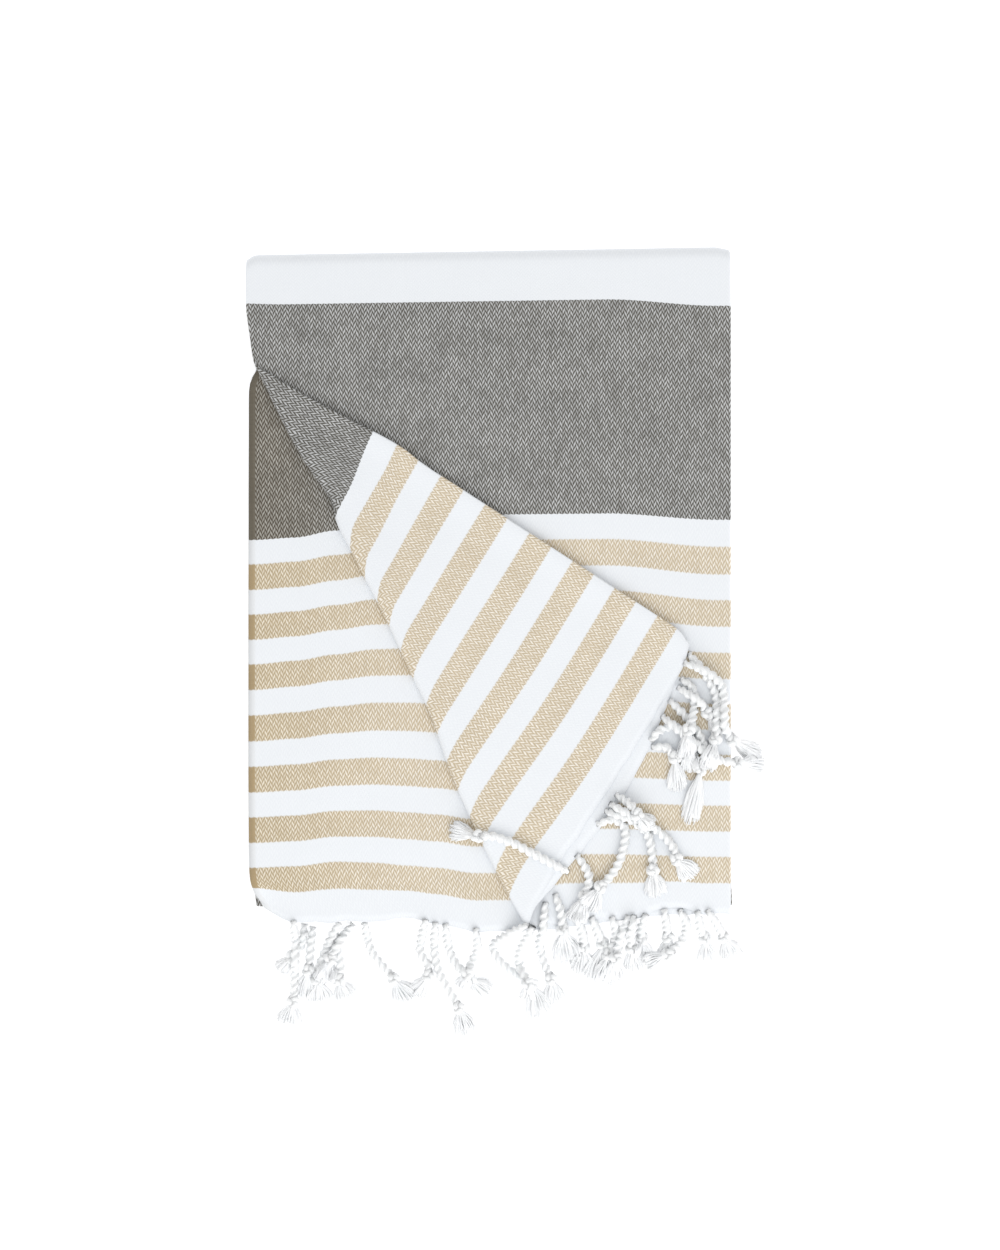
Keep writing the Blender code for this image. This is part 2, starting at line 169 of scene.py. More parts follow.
def add_object(name: str, data: bpy.types.ID) -> bpy.types.Object:
    """Put an object with this data into the scene.

    Args:
        name: the object's name.
        data: its curve, light or camera.

    Returns:
        The new object.
    """
    piece = bpy.data.objects.new(name, data)
    bpy.context.scene.collection.objects.link(piece)
    return piece


def new_material(name: str) -> tuple[bpy.types.Material, bpy.types.NodeTree, bpy.types.Node]:
    """Add a material.

    Args:
        name: the material's name.

    Returns:
        The material, its node tree and its shader.
    """
    material = bpy.data.materials.new(name)
    material.use_nodes = True
    return material, material.node_tree, material.node_tree.nodes["Principled BSDF"]


def set_values(node: bpy.types.Node, values: dict[str, object]) -> None:
    """Set constants directly on a node's input sockets, by their names."""
    for name, value in values.items():
        node.inputs[name].default_value = value


# ---- Finishes ----------------------------------------------------------------------------------
@dataclass(frozen=True)
class WeftBand:
    """Colours of one band of weft, as woven with the off-white warp.

    Attributes:
        ground: colour between the floats.
        floats: colour on the floats.
        selvage: colour of the dense edge.
    """

    ground: str
    floats: str
    selvage: str


@dataclass(frozen=True)
class HerringboneCotton:
    """Herringbone-woven cotton, yarn-dyed in stripes across the warp.

    The warp floats over the weft in slanted stitches whose slant flips every half column, so a
    coloured weft shows broken by off-white chevrons and a stripe's edge is toothed. Cotton is
    matt, with a slight bloom at grazing angles. All sizes are in millimetres of flat cloth.
    """

    name: str = "herringbone_woven_cotton"
    length: float = 1723.5
    half_width: float = 500.0
    column: float = 3.7             # one chevron across
    stitch: float = 3.95            # one stitch to the next along the warp
    slant: float = 1.8
    tooth: float = 0.25             # how far a stripe's edge follows the chevrons
    stitch_rim: tuple[float, float] = (0.13, 0.34)      # in shares of a stitch
    gap_rim: float = 0.30           # between two half columns
    rib: float = 0.45               # half the pitch of the selvage's ribs
    stripe_first: float = 29.5      # middle of the first stripe, from the hem
    stripe_pitch: float = 35.0
    stripe_half: float = 8.7
    stripes_end: float = 252.0
    ground_band: tuple[float, float] = (265.0, 411.0)
    centre_band: float = 490.0
    stripes_start: float = 12.0
    selvage: float = 4.6
    edge_tint: float = 130.0        # the weft shows darker this far in from a selvage
    white: WeftBand = WeftBand("#E9ECF0", "#EDF0F3", "#E9EBED")
    sand: WeftBand = WeftBand("#C7B79B", "#F2EBDF", "#B5A07E")
    sand_edge: WeftBand = WeftBand("#B6A484", "#ECE2CF", "#AD9772")
    slate: WeftBand = WeftBand("#57544D", "#C4C5C5", "#6E675A")
    slate_edge: WeftBand = WeftBand("#554D41", "#ADAAA2", "#676053")

    def build(self) -> bpy.types.Material:
        """Make the material.

        Returns:
            A material that reads the cloth's UV map as metres of flat cloth.
        """
        material, tree, shader = new_material(self.name)

        def number(operation: str, *values: object, clamp: bool = False) -> bpy.types.NodeSocket:
            """Add a Math node and return its output."""
            node = add_node(tree, "ShaderNodeMath", dict(enumerate(values)),
                            operation=operation, use_clamp=clamp)
            return node.outputs[0]

        def step(value: object, low: float, high: float) -> bpy.types.NodeSocket:
            """Smooth step between two values, falling where low is above high."""
            node = add_node(tree, "ShaderNodeMapRange",
                            {"Value": value, "From Min": low, "From Max": high},
                            interpolation_type="SMOOTHSTEP")
            return node.outputs[0]

        def blend(share: object, first: object, second: object) -> bpy.types.NodeSocket:
            """Mix two colours."""
            node = add_node(tree, "ShaderNodeMix", {0: share, 6: first, 7: second},
                            data_type="RGBA")
            return node.outputs[2]

        def grain(across: float, along: float, detail: float = 2.0) -> bpy.types.NodeSocket:
            """Add noise with a long grain.

            Args:
                across: the grain's length across the cloth, in millimetres.
                along: its length along the cloth.
                detail: how many finer layers it has.

            Returns:
                The output socket with the noise.
            """
            spread = add_node(tree, "ShaderNodeMapping",
                              {"Vector": flat, "Scale": (1.0 / across, 1.0 / along, 1.0)})
            node = add_node(tree, "ShaderNodeTexNoise",
                            {"Vector": spread.outputs[0], "Scale": 1.0, "Detail": detail},
                            noise_dimensions="2D")
            return node.outputs[0]

        laid = add_node(tree, "ShaderNodeUVMap", uv_map="flat_cloth")
        flat = add_node(tree, "ShaderNodeVectorMath", {0: laid.outputs[0], "Scale": 1000.0},
                        operation="SCALE").outputs[0]
        apart = add_node(tree, "ShaderNodeSeparateXYZ", {0: flat})
        wander = number("MULTIPLY_ADD", grain(9.0, 9.0), 0.8, -0.4)
        across = number("ADD", apart.outputs[0], wander)
        along = number("ADD", apart.outputs[1], number("MULTIPLY_ADD", grain(9.0, 6.0), 1.0, -0.5))

        # Chevrons: the stitch's phase runs up one half column and down the next.
        chevron = number("PINGPONG", across, self.column / 2)
        half_column = number("FLOOR", number("DIVIDE", across, self.column / 2))
        flipped = number("PINGPONG", half_column, 1.0)
        phase = number("DIVIDE", number("MULTIPLY_ADD", chevron, self.slant, along), self.stitch)
        phase = number("MULTIPLY_ADD", flipped, 0.5, phase)
        stitches = step(number("PINGPONG", phase, 0.5), *self.stitch_rim)
        gaps = step(number("PINGPONG", across, self.column / 4), 0.0, self.gap_rim)
        floats = number("MULTIPLY", stitches, number("MULTIPLY_ADD", gaps, 0.7, 0.3))
        stitch_place = add_node(tree, "ShaderNodeCombineXYZ", {
            0: half_column,
            1: number("FLOOR", phase)})
        each = add_node(tree, "ShaderNodeTexWhiteNoise", {"Vector": stitch_place.outputs[0]},
                        noise_dimensions="2D").outputs[0]
        floats = number("MULTIPLY", floats, number("MULTIPLY_ADD", each, 0.5, 0.62))
        from_side = number("PINGPONG", apart.outputs[0], self.half_width)
        in_selvage = step(from_side, self.selvage + 0.5, self.selvage - 0.5)
        ribs = step(number("PINGPONG", across, self.rib), 0.1, 0.35)
        floats = blend(in_selvage, floats, number("MULTIPLY", ribs, 0.12))

        # Bands of weft, mirrored about the towel's middle, with toothed edges.
        half = self.length / 2
        from_hem = number("SUBTRACT", half,
                          number("ABSOLUTE", number("SUBTRACT", apart.outputs[1], half)))
        toothed = number("MULTIPLY_ADD", chevron, self.tooth,
                         number("SUBTRACT", from_hem, self.tooth * self.column / 4))
        shifted = number("SUBTRACT", toothed, self.stripe_first - self.stripe_pitch)
        off_stripe = number("PINGPONG", shifted, self.stripe_pitch / 2)
        in_stripe = step(off_stripe, self.stripe_half + 0.8, self.stripe_half - 0.5)
        in_stripe = number("MULTIPLY", in_stripe,
                           step(toothed, self.stripes_end + 0.2, self.stripes_end - 0.2))
        in_stripe = number("MULTIPLY", in_stripe, number("GREATER_THAN", toothed,
                                                         self.stripes_start))
        low, high = self.ground_band
        off_ground = number("ABSOLUTE", number("SUBTRACT", toothed, (low + high) / 2))
        in_ground = step(off_ground, (high - low) / 2 + 0.25, (high - low) / 2 - 0.25)
        in_centre = step(toothed, self.centre_band - 0.25, self.centre_band + 0.25)
        in_slate = number("MAXIMUM", in_ground, in_centre)
        near_edge = step(from_side, self.edge_tint, 0.0)

        def banded(name: str) -> bpy.types.NodeSocket:
            """Pick a colour by the band and by how near the selvage this point is.

            Args:
                name: which of a band's colours to pick.

            Returns:
                The output socket with the colour.
            """
            white, sand, sand_edge, slate, slate_edge = (
                linear(getattr(band, name)) for band in (
                    self.white, self.sand, self.sand_edge, self.slate, self.slate_edge))
            striped = blend(in_stripe, white, blend(near_edge, sand, sand_edge))
            return blend(in_slate, striped, blend(near_edge, slate, slate_edge))

        ground = blend(in_selvage, banded("ground"), banded("selvage"))
        colour = blend(floats, ground, banded("floats"))
        # Uneven yarn: long faint streaks along the weft and the warp, and a soft mottle.
        streaks = number("ADD", number("MULTIPLY", grain(60.0, 1.6), 0.5),
                         number("MULTIPLY", grain(1.5, 70.0), 0.5))
        streaks = number("ADD", streaks, number("MULTIPLY", grain(28.0, 22.0), 0.5))
        dyed = number("MAXIMUM", in_slate, number("MULTIPLY", in_stripe, 0.35))
        shade = number("MULTIPLY_ADD", number("SUBTRACT", streaks, 0.75),
                       number("MULTIPLY_ADD", dyed, 0.42, 0.03), 1.0)
        colour = add_node(tree, "ShaderNodeVectorMath", {0: colour, "Scale": shade},
                          operation="SCALE").outputs[0]

        raised = number("MULTIPLY", floats, number("MULTIPLY_ADD",
                        number("MAXIMUM", in_slate, in_stripe), 0.88, 0.12))
        raised = number("MULTIPLY_ADD", grain(0.9, 0.9, 3.0), 0.2, raised)
        bump = add_node(tree, "ShaderNodeBump",
                        {"Strength": 0.55, "Distance": 0.00035, "Height": raised})
        tree.links.new(colour, shader.inputs["Base Color"])
        tree.links.new(bump.outputs[0], shader.inputs["Normal"])
        set_values(shader, {"Roughness": 0.95, "Specular IOR Level": 0.2,
                            "Sheen Weight": 0.12, "Sheen Roughness": 0.5})
        return material


@dataclass(frozen=True)
class TwistedCotton:
    """Bleached cotton warp ends, twisted by hand into cords and left fluffy at the tips.

    The fibres run along the yarn, so the surface is matt with fine soft streaks.
    """

    name: str = "twisted_bleached_cotton"
    shaded: str = "#E8EBEE"
    bright: str = "#F5F7F8"
    fibre: float = 0.6              # drawn about five times too coarse, or it would not show
    patch: float = 9.0              # broad, soft patches of lighter and darker yarn
    glow_through: float = 0.7       # share of the light that wanders inside a dense cord
    glow_reach: float = 2.0

    def build(self) -> bpy.types.Material:
        """Make the material.

        Returns:
            A material that reads Object coordinates.
        """
        material, tree, shader = new_material(self.name)
        place = add_node(tree, "ShaderNodeTexCoord").outputs["Object"]
        fine = add_node(tree, "ShaderNodeTexNoise",
                        {"Vector": place, "Scale": 1.0 / (self.fibre * METRES), "Detail": 3.0})
        broad = add_node(tree, "ShaderNodeTexNoise",
                         {"Vector": place, "Scale": 1.0 / (self.patch * METRES), "Detail": 1.0})
        share = add_node(tree, "ShaderNodeMath", {0: fine.outputs[0], 1: broad.outputs[0]},
                         operation="ADD", use_clamp=True)
        colour = add_node(tree, "ShaderNodeMix", {0: share.outputs[0], 6: linear(self.shaded),
                                                  7: linear(self.bright)}, data_type="RGBA")
        bump = add_node(tree, "ShaderNodeBump",
                        {"Strength": 0.4, "Distance": 0.0003, "Height": fine.outputs[0]})
        tree.links.new(colour.outputs[2], shader.inputs["Base Color"])
        tree.links.new(bump.outputs[0], shader.inputs["Normal"])
        set_values(shader, {"Roughness": 0.9, "Specular IOR Level": 0.2,
                            "Subsurface Weight": self.glow_through,
                            "Subsurface Radius": (1.0, 1.0, 1.0),
                            "Subsurface Scale": self.glow_reach * METRES,
                            "Sheen Weight": 0.15, "Sheen Roughness": 0.5})
        return material


# ---- The folds ---------------------------------------------------------------------------------
class Panel(Enum):
    """Part of the cloth across its width, from the selvage that shows to the hidden one."""

    UNDER = "under"
    RIGHT = "right turn"
    TOP = "top"
    LEFT = "left turn"
    MIDDLE = "middle"


class Zone(Enum):
    """Part of an upper ply: turned back with the corner, bent round the crease, or kept."""

    TURNED = "turned"
    ROLL = "roll"
    KEPT = "kept"


class Strip(Enum):
    """Part of the cloth along its length, from the hem that shows to the hidden one."""

    FRONT = "front"
    OUTER_TURN = "outer turn"
    FLOOR = "floor strip"
    FOOT_TURN = "foot turn"
    SECOND = "second strip"
    INNER_TURN = "inner turn"
    THIRD = "third strip"


@dataclass(frozen=True)
class Column:
    """One column of the sheet: its panel, its zone there, and its place in the zone."""

    panel: Panel
    zone: Zone | None
    share: float


@dataclass(frozen=True)
class Row:
    """One row of the sheet: its strip, its place in it, and its distance from the hem."""

    strip: Strip
    share: float
    run: float


@dataclass
class TurnedCorner:
    """The lower left corner of the two upper plies, turned back over a soft crease."""

    apex: Vector = field(default_factory=lambda: Vector((-161.5, 387.0)))
    tip: Vector = field(default_factory=lambda: Vector((26.0, -6.0)))
    corner: Vector = field(default_factory=lambda: Vector((143.5, 189.5)))
    hem: float = -6.0               # height of the hem where it turns back
    roll_half: float = 6.0
    roll_out: float = 3.5
    roll_rise: float = 2.3
    roll_flat: float = 0.75
    settle: float = 24.0
    edge_lift: float = 3.2
    crease: Table = (     # height, x
        (-40.0, 42.0), (-4.8, 24.2), (22.1, 9.3), (60.7, -9.7), (99.4, -26.9), (139.4, -40.9),
        (176.6, -58.3), (210.5, -74.0), (242.2, -90.5), (251.2, -94.8), (260.8, -100.0),
        (267.0, -103.5), (278.1, -107.3), (287.0, -109.0), (319.5, -130.8), (381.6, -162.5),
        (470.0, -206.0),
    )
    laid_runs: Table = (  # height on the flat ply, run from the hem
        (-6.0, 0.0), (28.0, 24.7), (65.0, 60.4), (102.0, 94.8), (141.0, 130.0), (181.0, 166.6),
        (219.0, 202.8), (256.0, 242.0), (282.0, 269.5), (387.0, 357.5),
    )
    drawn_down: Table = (     # height on the crease, how much lower
        (-40.0, 0.0), (-6.0, 0.0), (28.0, 5.2), (65.0, 5.5), (102.0, 5.5), (141.0, 5.0),
        (181.0, 6.6), (219.0, 9.8), (256.0, 13.0), (282.0, 6.0), (330.0, 2.5), (387.0, 0.0),
        (470.0, 0.0),
    )
    drawn_kept: float = 40.0        # the weft is drawn down this far into the kept side
    # On the turned side: share of it, and the spread over which that share fades.
    drawn_turned: Table = ((0.62, 6.0), (0.38, 42.0))
    rounding: float = 4.3           # the towel's corner is rounded off by this much
    rounding_spread: float = 10.0
    left_fold: Table = (    # height, x of the upper plies' fold
        (-40.0, -202.0), (387.0, -161.6), (393.0, -162.3), (407.0, -164.4), (423.0, -166.5),
        (470.0, -166.8),
    )
    bulge: float = 11.0             # the lower of its plies shows this much past the upper hem
    bulge_from: float = 30.0        # distance from the corner where it comes out
    bulge_to: float = 205.0         # and where it has gone
    bulge_fade: float = 45.0        # it fades over this length from the hem
    apex_fade: float = 90.0         # the crease is pressed flat towards the apex over this length
    joint_spread: float = 60.0      # the turned side is drawn to the crease over this distance
    edge_spread: float = 14.0       # its outer fold lifts within this distance
    edge_run: float = 30.0          # and once it is this far past the crease

    def __post_init__(self) -> None:
        """Work out the crease's direction and those of the corner's two edges."""
        crease = self.tip - self.apex
        self.lean = math.atan2(crease.x, -crease.y)
        self.across = Vector((math.cos(self.lean), math.sin(self.lean)))
        self.edge_way = (self.apex - self.corner).normalized()
        self.hem_way = (self.tip - self.corner).normalized()
        self.crowd = 1.15 * self.roll_half / math.cos(self.lean)

    def fold_x(self, y: float) -> float:
        """Where the upper plies' left fold would lie at height y with the corner laid flat."""
        return read_off(self.left_fold, y)

    def crease_x(self, y: float) -> float:
        """Where the crease crosses height y on the ply that it folds."""
        return read_smooth(self.crease, y)

    def laid_back(self, x: float, y: float, lower: bool = False) -> Vector:
        """Plan position on the turned corner of a point of the flat ply.

        Args:
            x: place across the flat ply.
            y: place along it.
            lower: whether the point is on the lower ply of the turned corner.

        Returns:
            The point's plan position.
        """
        run = read_off(self.laid_runs, y) + min(y - self.hem, 0.0)
        from_corner = x - self.fold_x(y)
        rounded = self.rounding * bell(run, self.rounding_spread)
        rounded *= bell(from_corner, self.rounding_spread)
        run += rounded
        from_corner += rounded
        if lower:
            share = (from_corner - self.bulge_from) / (self.bulge_to - self.bulge_from)
            shown = math.sin(math.pi * min(max(share, 0.0), 1.0)) ** 0.8
            run -= self.bulge * shown * math.exp(-max(run, 0.0) / self.bulge_fade)
        return self.corner + self.edge_way * run + self.hem_way * from_corner

    def along_crease(self, y: float, past: float) -> Vector:
        """How far the weft is drawn down along the crease, most of all on its outer side.

        Args:
            y: height of the nearest point on the crease.
            past: distance past the crease, negative on the kept side.

        Returns:
            The shift in plan.
        """
        if past < 0.0:
            share = ease(1.0 + past / self.drawn_kept)
        else:
            share = sum(part * bell(past, spread) for part, spread in self.drawn_turned)
        lowered = share * read_smooth(self.drawn_down, y)
        return Vector((self.crease_x(y - lowered) - self.crease_x(y), -lowered))

    def turn_back(self, x: float, y: float, height: float, ply: float,
                  lower: bool) -> tuple[Vector, float]:
        """Turn a point of the two upper plies back over the crease.

        Args:
            x: place across the flat ply.
            y: place along it.
            height: height over the strip's middle.
            ply: distance from one ply to the next.
            lower: whether the point is on the ply that comes to lie lower in the corner.

        Returns:
            The point's plan position and its height over the strip's middle.
        """
        here = Vector((x, y))
        past = (self.crease_x(y) - x) * math.cos(self.lean)
        foot_y = y + past * math.sin(self.lean)
        shift = self.along_crease(foot_y, past)
        if past <= -self.roll_half:
            return here + shift, height
        bend = min(past / self.roll_half, 1.0) * math.pi / 2
        outside = ply - height
        foot = Vector((self.crease_x(foot_y), foot_y))
        from_apex = ease((self.apex - foot).length / self.apex_fade)
        roll_rise = self.roll_flat + (self.roll_rise - self.roll_flat) * from_apex
        if past < self.roll_half:
            reach = (self.roll_out + outside) * math.cos(bend) - self.roll_half
            share = 0.5 + 0.5 * math.sin(bend)
            raised = ply + roll_rise + (roll_rise + outside) * math.sin(bend)
        else:
            reach = -past
            share = 1.0
            settled = bell(past - self.roll_half, self.settle)
            roll_rise = self.roll_flat + (roll_rise - self.roll_flat) * settled
            raised = ply + 2.0 * roll_rise + outside
            edge = bell(x - self.fold_x(y), self.edge_spread)
            clear = ease((past - self.roll_half) / self.edge_run)
            raised += self.edge_lift * edge * from_apex * clear
        kept = here + self.across * (past - reach)
        source = here + self.across * (past + reach)
        drawn = (foot - self.laid_back(foot.x, foot.y)) * bell(reach, self.joint_spread)
        turned = self.laid_back(source.x, source.y, lower) + drawn
        return kept.lerp(turned, share) + shift, raised


@dataclass(frozen=True)
class Lie:
    """How a part of the length lies in the stack.

    Attributes:
        first: level at which it starts, counted from the floor.
        last: level at which it ends.
        side: 1 where a ply's height over the strip's middle adds to its level or its radius, and
            -1 where it takes from it.
    """

    first: int
    last: int
    side: float


# How every part but the front lies.
LIES = {
    Strip.OUTER_TURN: Lie(3, 0, 1.0),
    Strip.FLOOR: Lie(0, 0, -1.0),
    Strip.FOOT_TURN: Lie(0, 1, 1.0),
    Strip.SECOND: Lie(1, 1, 1.0),
    Strip.INNER_TURN: Lie(1, 2, -1.0),
    Strip.THIRD: Lie(2, 2, -1.0),
}


@dataclass
class FoldedStack:
    """How the flat cloth lies: in three across, then in four along, with a corner turned back."""

    thick: float = 1.0
    ply: float = 1.4
    strip: float = 4.4
    width: float = 1000.0
    right_edge: float = 167.0
    top_edge: float = 461.2
    top_tilt: float = 0.017
    free_edge_room: float = 4.0
    bottom_fold: float = 11.0
    hem_inner: float = 96.0
    top_hem_crest: float = 6.5      # the top ply's hem is drawn up by this much on the right
    fold_in: float = 2.2            # the lower strips' left fold lies this far inside
    front_run: float = 454.0
    under_reach: float = 165.6      # the lowest ply reaches about this far left of zero
    swell_fade: float = 45.0        # swells fade out over this length at the top fold
    crest_x: float = 124.0          # where the top ply's hem is drawn up
    wave: float = 1.6               # a hem's small waves
    hem_spread: float = 16.0        # a hem's waves fade out over this length of cloth
    droop: float = 7.5              # the lowest ply's left corner hangs down by this much
    foot_rounding: float = 4.3      # the lower strips' left fold draws in at the foot
    slip: float = 1.5               # and the lowest ply's selvage lies this far inside it
    foot_bulge: float = 2.0         # the lower strips stand out at the foot on the right
    top_blend: float = 14.0         # the rounding at the top reaches this far down the front
    strip_blend: float = 20.0       # and fades within one part in this many of a lower strip
    passes: int = 4                 # rounds in which a point's x and its height settle
    corner: TurnedCorner = field(default_factory=TurnedCorner)
    # The top fold falls short at both ends: by how much, where, and over what spread.
    roundings: Table = ((3.6, -168.5, 4.2), (2.2, 167.0, 4.0))
    # Small unevenness: height, its length across and along, and which noise it is.
    unevenness: Table = ((0.35, 38.0, 30.0, 1.7), (0.16, 15.0, 13.0, 5.1))
    # Left edge of what lies under the turned corner, which slips in below the corner's apex.
    left_line: Table = (   # height, x
        (2.0, -153.0), (7.0, -155.8), (12.0, -158.9), (17.2, -162.2), (26.2, -165.0),
        (40.0, -165.7), (120.0, -166.2), (358.0, -165.9), (367.0, -165.7), (372.0, -164.9),
        (376.0, -163.3), (380.0, -160.8), (384.0, -159.2), (405.0, -159.2), (430.0, -163.0),
        (450.0, -165.0),
    )
    # Where the weft lines of the lowest ply lie: distance from the hem, height at the left
    # selvage, and how much lower each line comes at the other places across.
    under_places: tuple[float, ...] = (-162.0, -134.0, -106.0, -79.0, -57.0, -37.0, -10.0)
    turn_from: float = 10.0         # right of here its lines turn to meet the right fold
    turn_length: float = 140.0      # which they have done after this length
    under_lines: Table = (
        (0.0, 8.0, 11.5, 10.8, 10.8, 8.0, 12.5, 17.5),
        (29.5, 25.9, -1.0, -4.1, -3.1, -0.9, 0.6, 4.5),
        (99.5, 95.9, -1.4, -4.5, -5.5, -4.6, -3.1, 0.0),
        (169.5, 167.3, -2.4, -6.6, -9.9, -10.3, -10.0, -9.0),
        (239.5, 236.6, -1.7, -5.9, -9.7, -11.0, -11.0, -10.0),
        (265.0, 262.5, -1.4, -6.0, -9.0, -10.0, -10.0, -9.0),
        (411.0, 413.0, 0.0, 0.0, 0.0, 0.0, 0.0, 0.0),
        (454.0, 452.7, 0.0, 0.0, 0.0, 0.0, 0.0, 0.0),
    )
    # Weft lines of the upper plies: distance from the hem, height where the corner turns back,
    # height at the middle of what shows and height at the right fold.
    upper_lines: Table = (
        (0.0, -6.0, -1.0, 3.0),
        (29.5, 28.0, 35.0, 33.0),
        (64.5, 65.0, 70.4, 68.3),
        (99.5, 102.0, 106.0, 103.0),
        (134.5, 141.0, 142.5, 138.0),
        (169.5, 181.0, 179.0, 172.7),
        (204.5, 219.0, 216.8, 209.0),
        (239.5, 256.0, 251.4, 244.7),
        (265.0, 282.0, 278.4, 273.3),
        (411.0, 427.0, 426.0, 420.2),
        (454.0, 452.7, 452.7, 452.7),
    )
    swells: Table = (   # x, y, long, broad, turn in degrees, height
        (95.0, 330.0, 130.0, 52.0, 24.0, 0.9),
        (-30.0, 390.0, 150.0, 48.0, 4.0, 0.7),
        (120.0, 110.0, 90.0, 50.0, 70.0, 0.9),
        (-110.0, 100.0, 100.0, 48.0, 82.0, 1.0),
        (-100.0, 225.0, 70.0, 26.0, 20.0, 0.8),
        (-128.0, 40.0, 24.0, 16.0, 90.0, 0.9),
        (60.0, 215.0, 110.0, 30.0, -55.0, 0.7),
        (-10.0, 120.0, 80.0, 26.0, -60.0, 0.6),
    )

    def __post_init__(self) -> None:
        """Work out the levels, the folds' radii and their centres."""
        self.levels = [self.thick / 2 + self.ply + self.strip * step for step in range(4)]
        self.outer_radius = 1.5 * self.strip
        self.inner_radius = 0.5 * self.strip
        self.fold_centre = self.right_edge - self.ply - self.thick / 2
        self.turn_centre = self.top_edge - self.outer_radius - self.ply - self.thick / 2
        self.under_width = self.fold_centre + self.under_reach
        self.upper_plies = self.width - self.under_width - 1.5 * math.pi * self.ply

    def swell(self, x: float, y: float) -> float:
        """Read the height of the soft swells and of the cloth's small unevenness.

        Args:
            x: place across.
            y: place along.

        Returns:
            The height to add.
        """
        height = 0.0
        for mid_x, mid_y, long, broad, turn, rise in self.swells:
            way = Vector((math.cos(math.radians(turn)), math.sin(math.radians(turn))))
            off = Vector((x - mid_x, y - mid_y))
            length = off.dot(way) / long
            breadth = (off.y * way.x - off.x * way.y) / broad
            height += rise * math.exp(-length * length - breadth * breadth)
        for rise, across, along, seed in self.unevenness:
            height += rise * noise.noise(Vector((x / across, y / along, seed)))
        return height * ease((self.turn_centre - y) / self.swell_fade)

    def under_y(self, x: float, run: float) -> float:
        """Find where a weft line lies on the lowest ply.

        Args:
            x: place across.
            run: distance of the weft line from the hem.

        Returns:
            The line's height there.
        """
        base = read_off(self.under_lines, run)
        places = self.under_places
        at = min(max(bisect_left(places, x), 1), len(places) - 1)
        share = ease((x - places[at - 1]) / (places[at] - places[at - 1]))
        before = read_off(self.under_lines, run, at) if at > 1 else 0.0
        lowered = before + (read_off(self.under_lines, run, at + 1) - before) * share
        at_fold = read_off(self.upper_lines, run, 3)
        turned = ease((x - self.turn_from) / self.turn_length)
        return base - lowered + (at_fold - base + lowered) * turned

    def hem_wave(self, panel: Panel, x: float, run: float) -> float:
        """Find how far a ply's hem is drawn up, which fades out along the cloth.

        Args:
            panel: which ply.
            x: place across.
            run: distance from the hem.

        Returns:
            The shift along the cloth.
        """
        drawn = self.wave * noise.noise(Vector((x / 13.0, 3.0 * len(panel.value), 0.0)))
        if panel is Panel.TOP:
            drawn += self.top_hem_crest * bell(x - self.crest_x, 15.0)
        return drawn * bell(run, self.hem_spread)

    def upper_y(self, x: float, run: float) -> float:
        """Find where a weft line lies on the upper plies.

        Args:
            x: place across.
            run: distance of the weft line from the hem.

        Returns:
            The line's height there.
        """
        turned, middle, right = (read_off(self.upper_lines, run, at) for at in (1, 2, 3))
        kept = middle + (right - middle) * ease((x - 80.0) / 80.0)
        past = x - self.corner.crease_x(turned) - 8.0
        return turned + (kept - turned) * ease(past / 36.0)

    def crowded_x(self, column: Column, y: float, fold: float, far: float) -> float:
        """Crowd the columns of the upper plies together where the crease crosses them.

        Args:
            column: the column of the sheet.
            y: height at which it is wanted.
            fold: x of the upper plies' left fold there.
            far: x of the ply's other end.

        Returns:
            The column's x.
        """
        crowd = self.corner.crowd
        crease = max(self.corner.crease_x(y), fold + crowd + 4.0)
        if column.zone is Zone.TURNED:
            return fold + column.share * (crease - crowd - fold)
        if column.zone is Zone.ROLL:
            return crease + column.share * crowd
        return crease + crowd + column.share * (far - crease - crowd)

    def section(self, column: Column, y: float, fold: float) -> tuple[float, float, float]:
        """Point of the folded section across the towel.

        Args:
            column: the column of the sheet.
            y: height at which the section is cut.
            fold: x of the upper plies' left fold there.

        Returns:
            The point's x, its height over the strip's middle, and its place across the flat cloth.
        """
        if column.panel is Panel.UNDER:
            selvage = read_smooth(self.left_line, y)
            x = selvage + column.share * (self.fold_centre - selvage)
            return x, -self.ply, column.share * self.under_width
        across = self.under_width
        if column.panel is Panel.RIGHT:
            turn = math.pi * column.share
            x = self.fold_centre + self.ply * math.sin(turn)
            return x, -self.ply * math.cos(turn), across + self.ply * turn
        across += math.pi * self.ply
        if column.panel is Panel.TOP:
            x = self.crowded_x(column, y, fold, self.fold_centre)
            return x, self.ply, across + self.fold_centre - x
        across += self.fold_centre - fold
        if column.panel is Panel.LEFT:
            turn = math.pi * column.share
            x = fold - self.ply / 2 * math.sin(turn)
            return x, self.ply / 2 * (1.0 + math.cos(turn)), across + self.ply / 2 * turn
        across += math.pi * self.ply / 2
        longest = self.fold_centre - self.free_edge_room
        free_edge = min(fold + self.width - across, longest)
        x = self.crowded_x(column, y, fold, free_edge)
        return x, 0.0, across + (x - fold) * (self.width - across) / (free_edge - fold)

    def front(self, column: Column, run: float) -> tuple[Vector, float]:
        """Place a point of the top strip.

        Args:
            column: the column of the sheet.
            run: distance from the hem along the flat cloth.

        Returns:
            The drawn point and its place across the flat cloth.
        """
        upper = column.panel is not Panel.UNDER
        y = run
        for _ in range(self.passes):
            x, height, across = self.section(column, y, self.corner.fold_x(y))
            y = self.upper_y(x, run) if upper else self.under_y(x, run)
            y += self.hem_wave(column.panel, x, run)
        y += self.top_tilt * x * run / self.front_run
        spot = Vector((x, y))
        droop = 0.0
        if upper:
            lower = column.panel in (Panel.TOP, Panel.RIGHT)
            spot, height = self.corner.turn_back(x, y, height, self.ply, lower)
        else:
            droop = self.droop * bell(x + 168.0, 20.0) * bell(run, 20.0)
        level = self.levels[3] + height + self.swell(spot.x, spot.y) - droop
        return Vector((spot.x, spot.y, level)), across

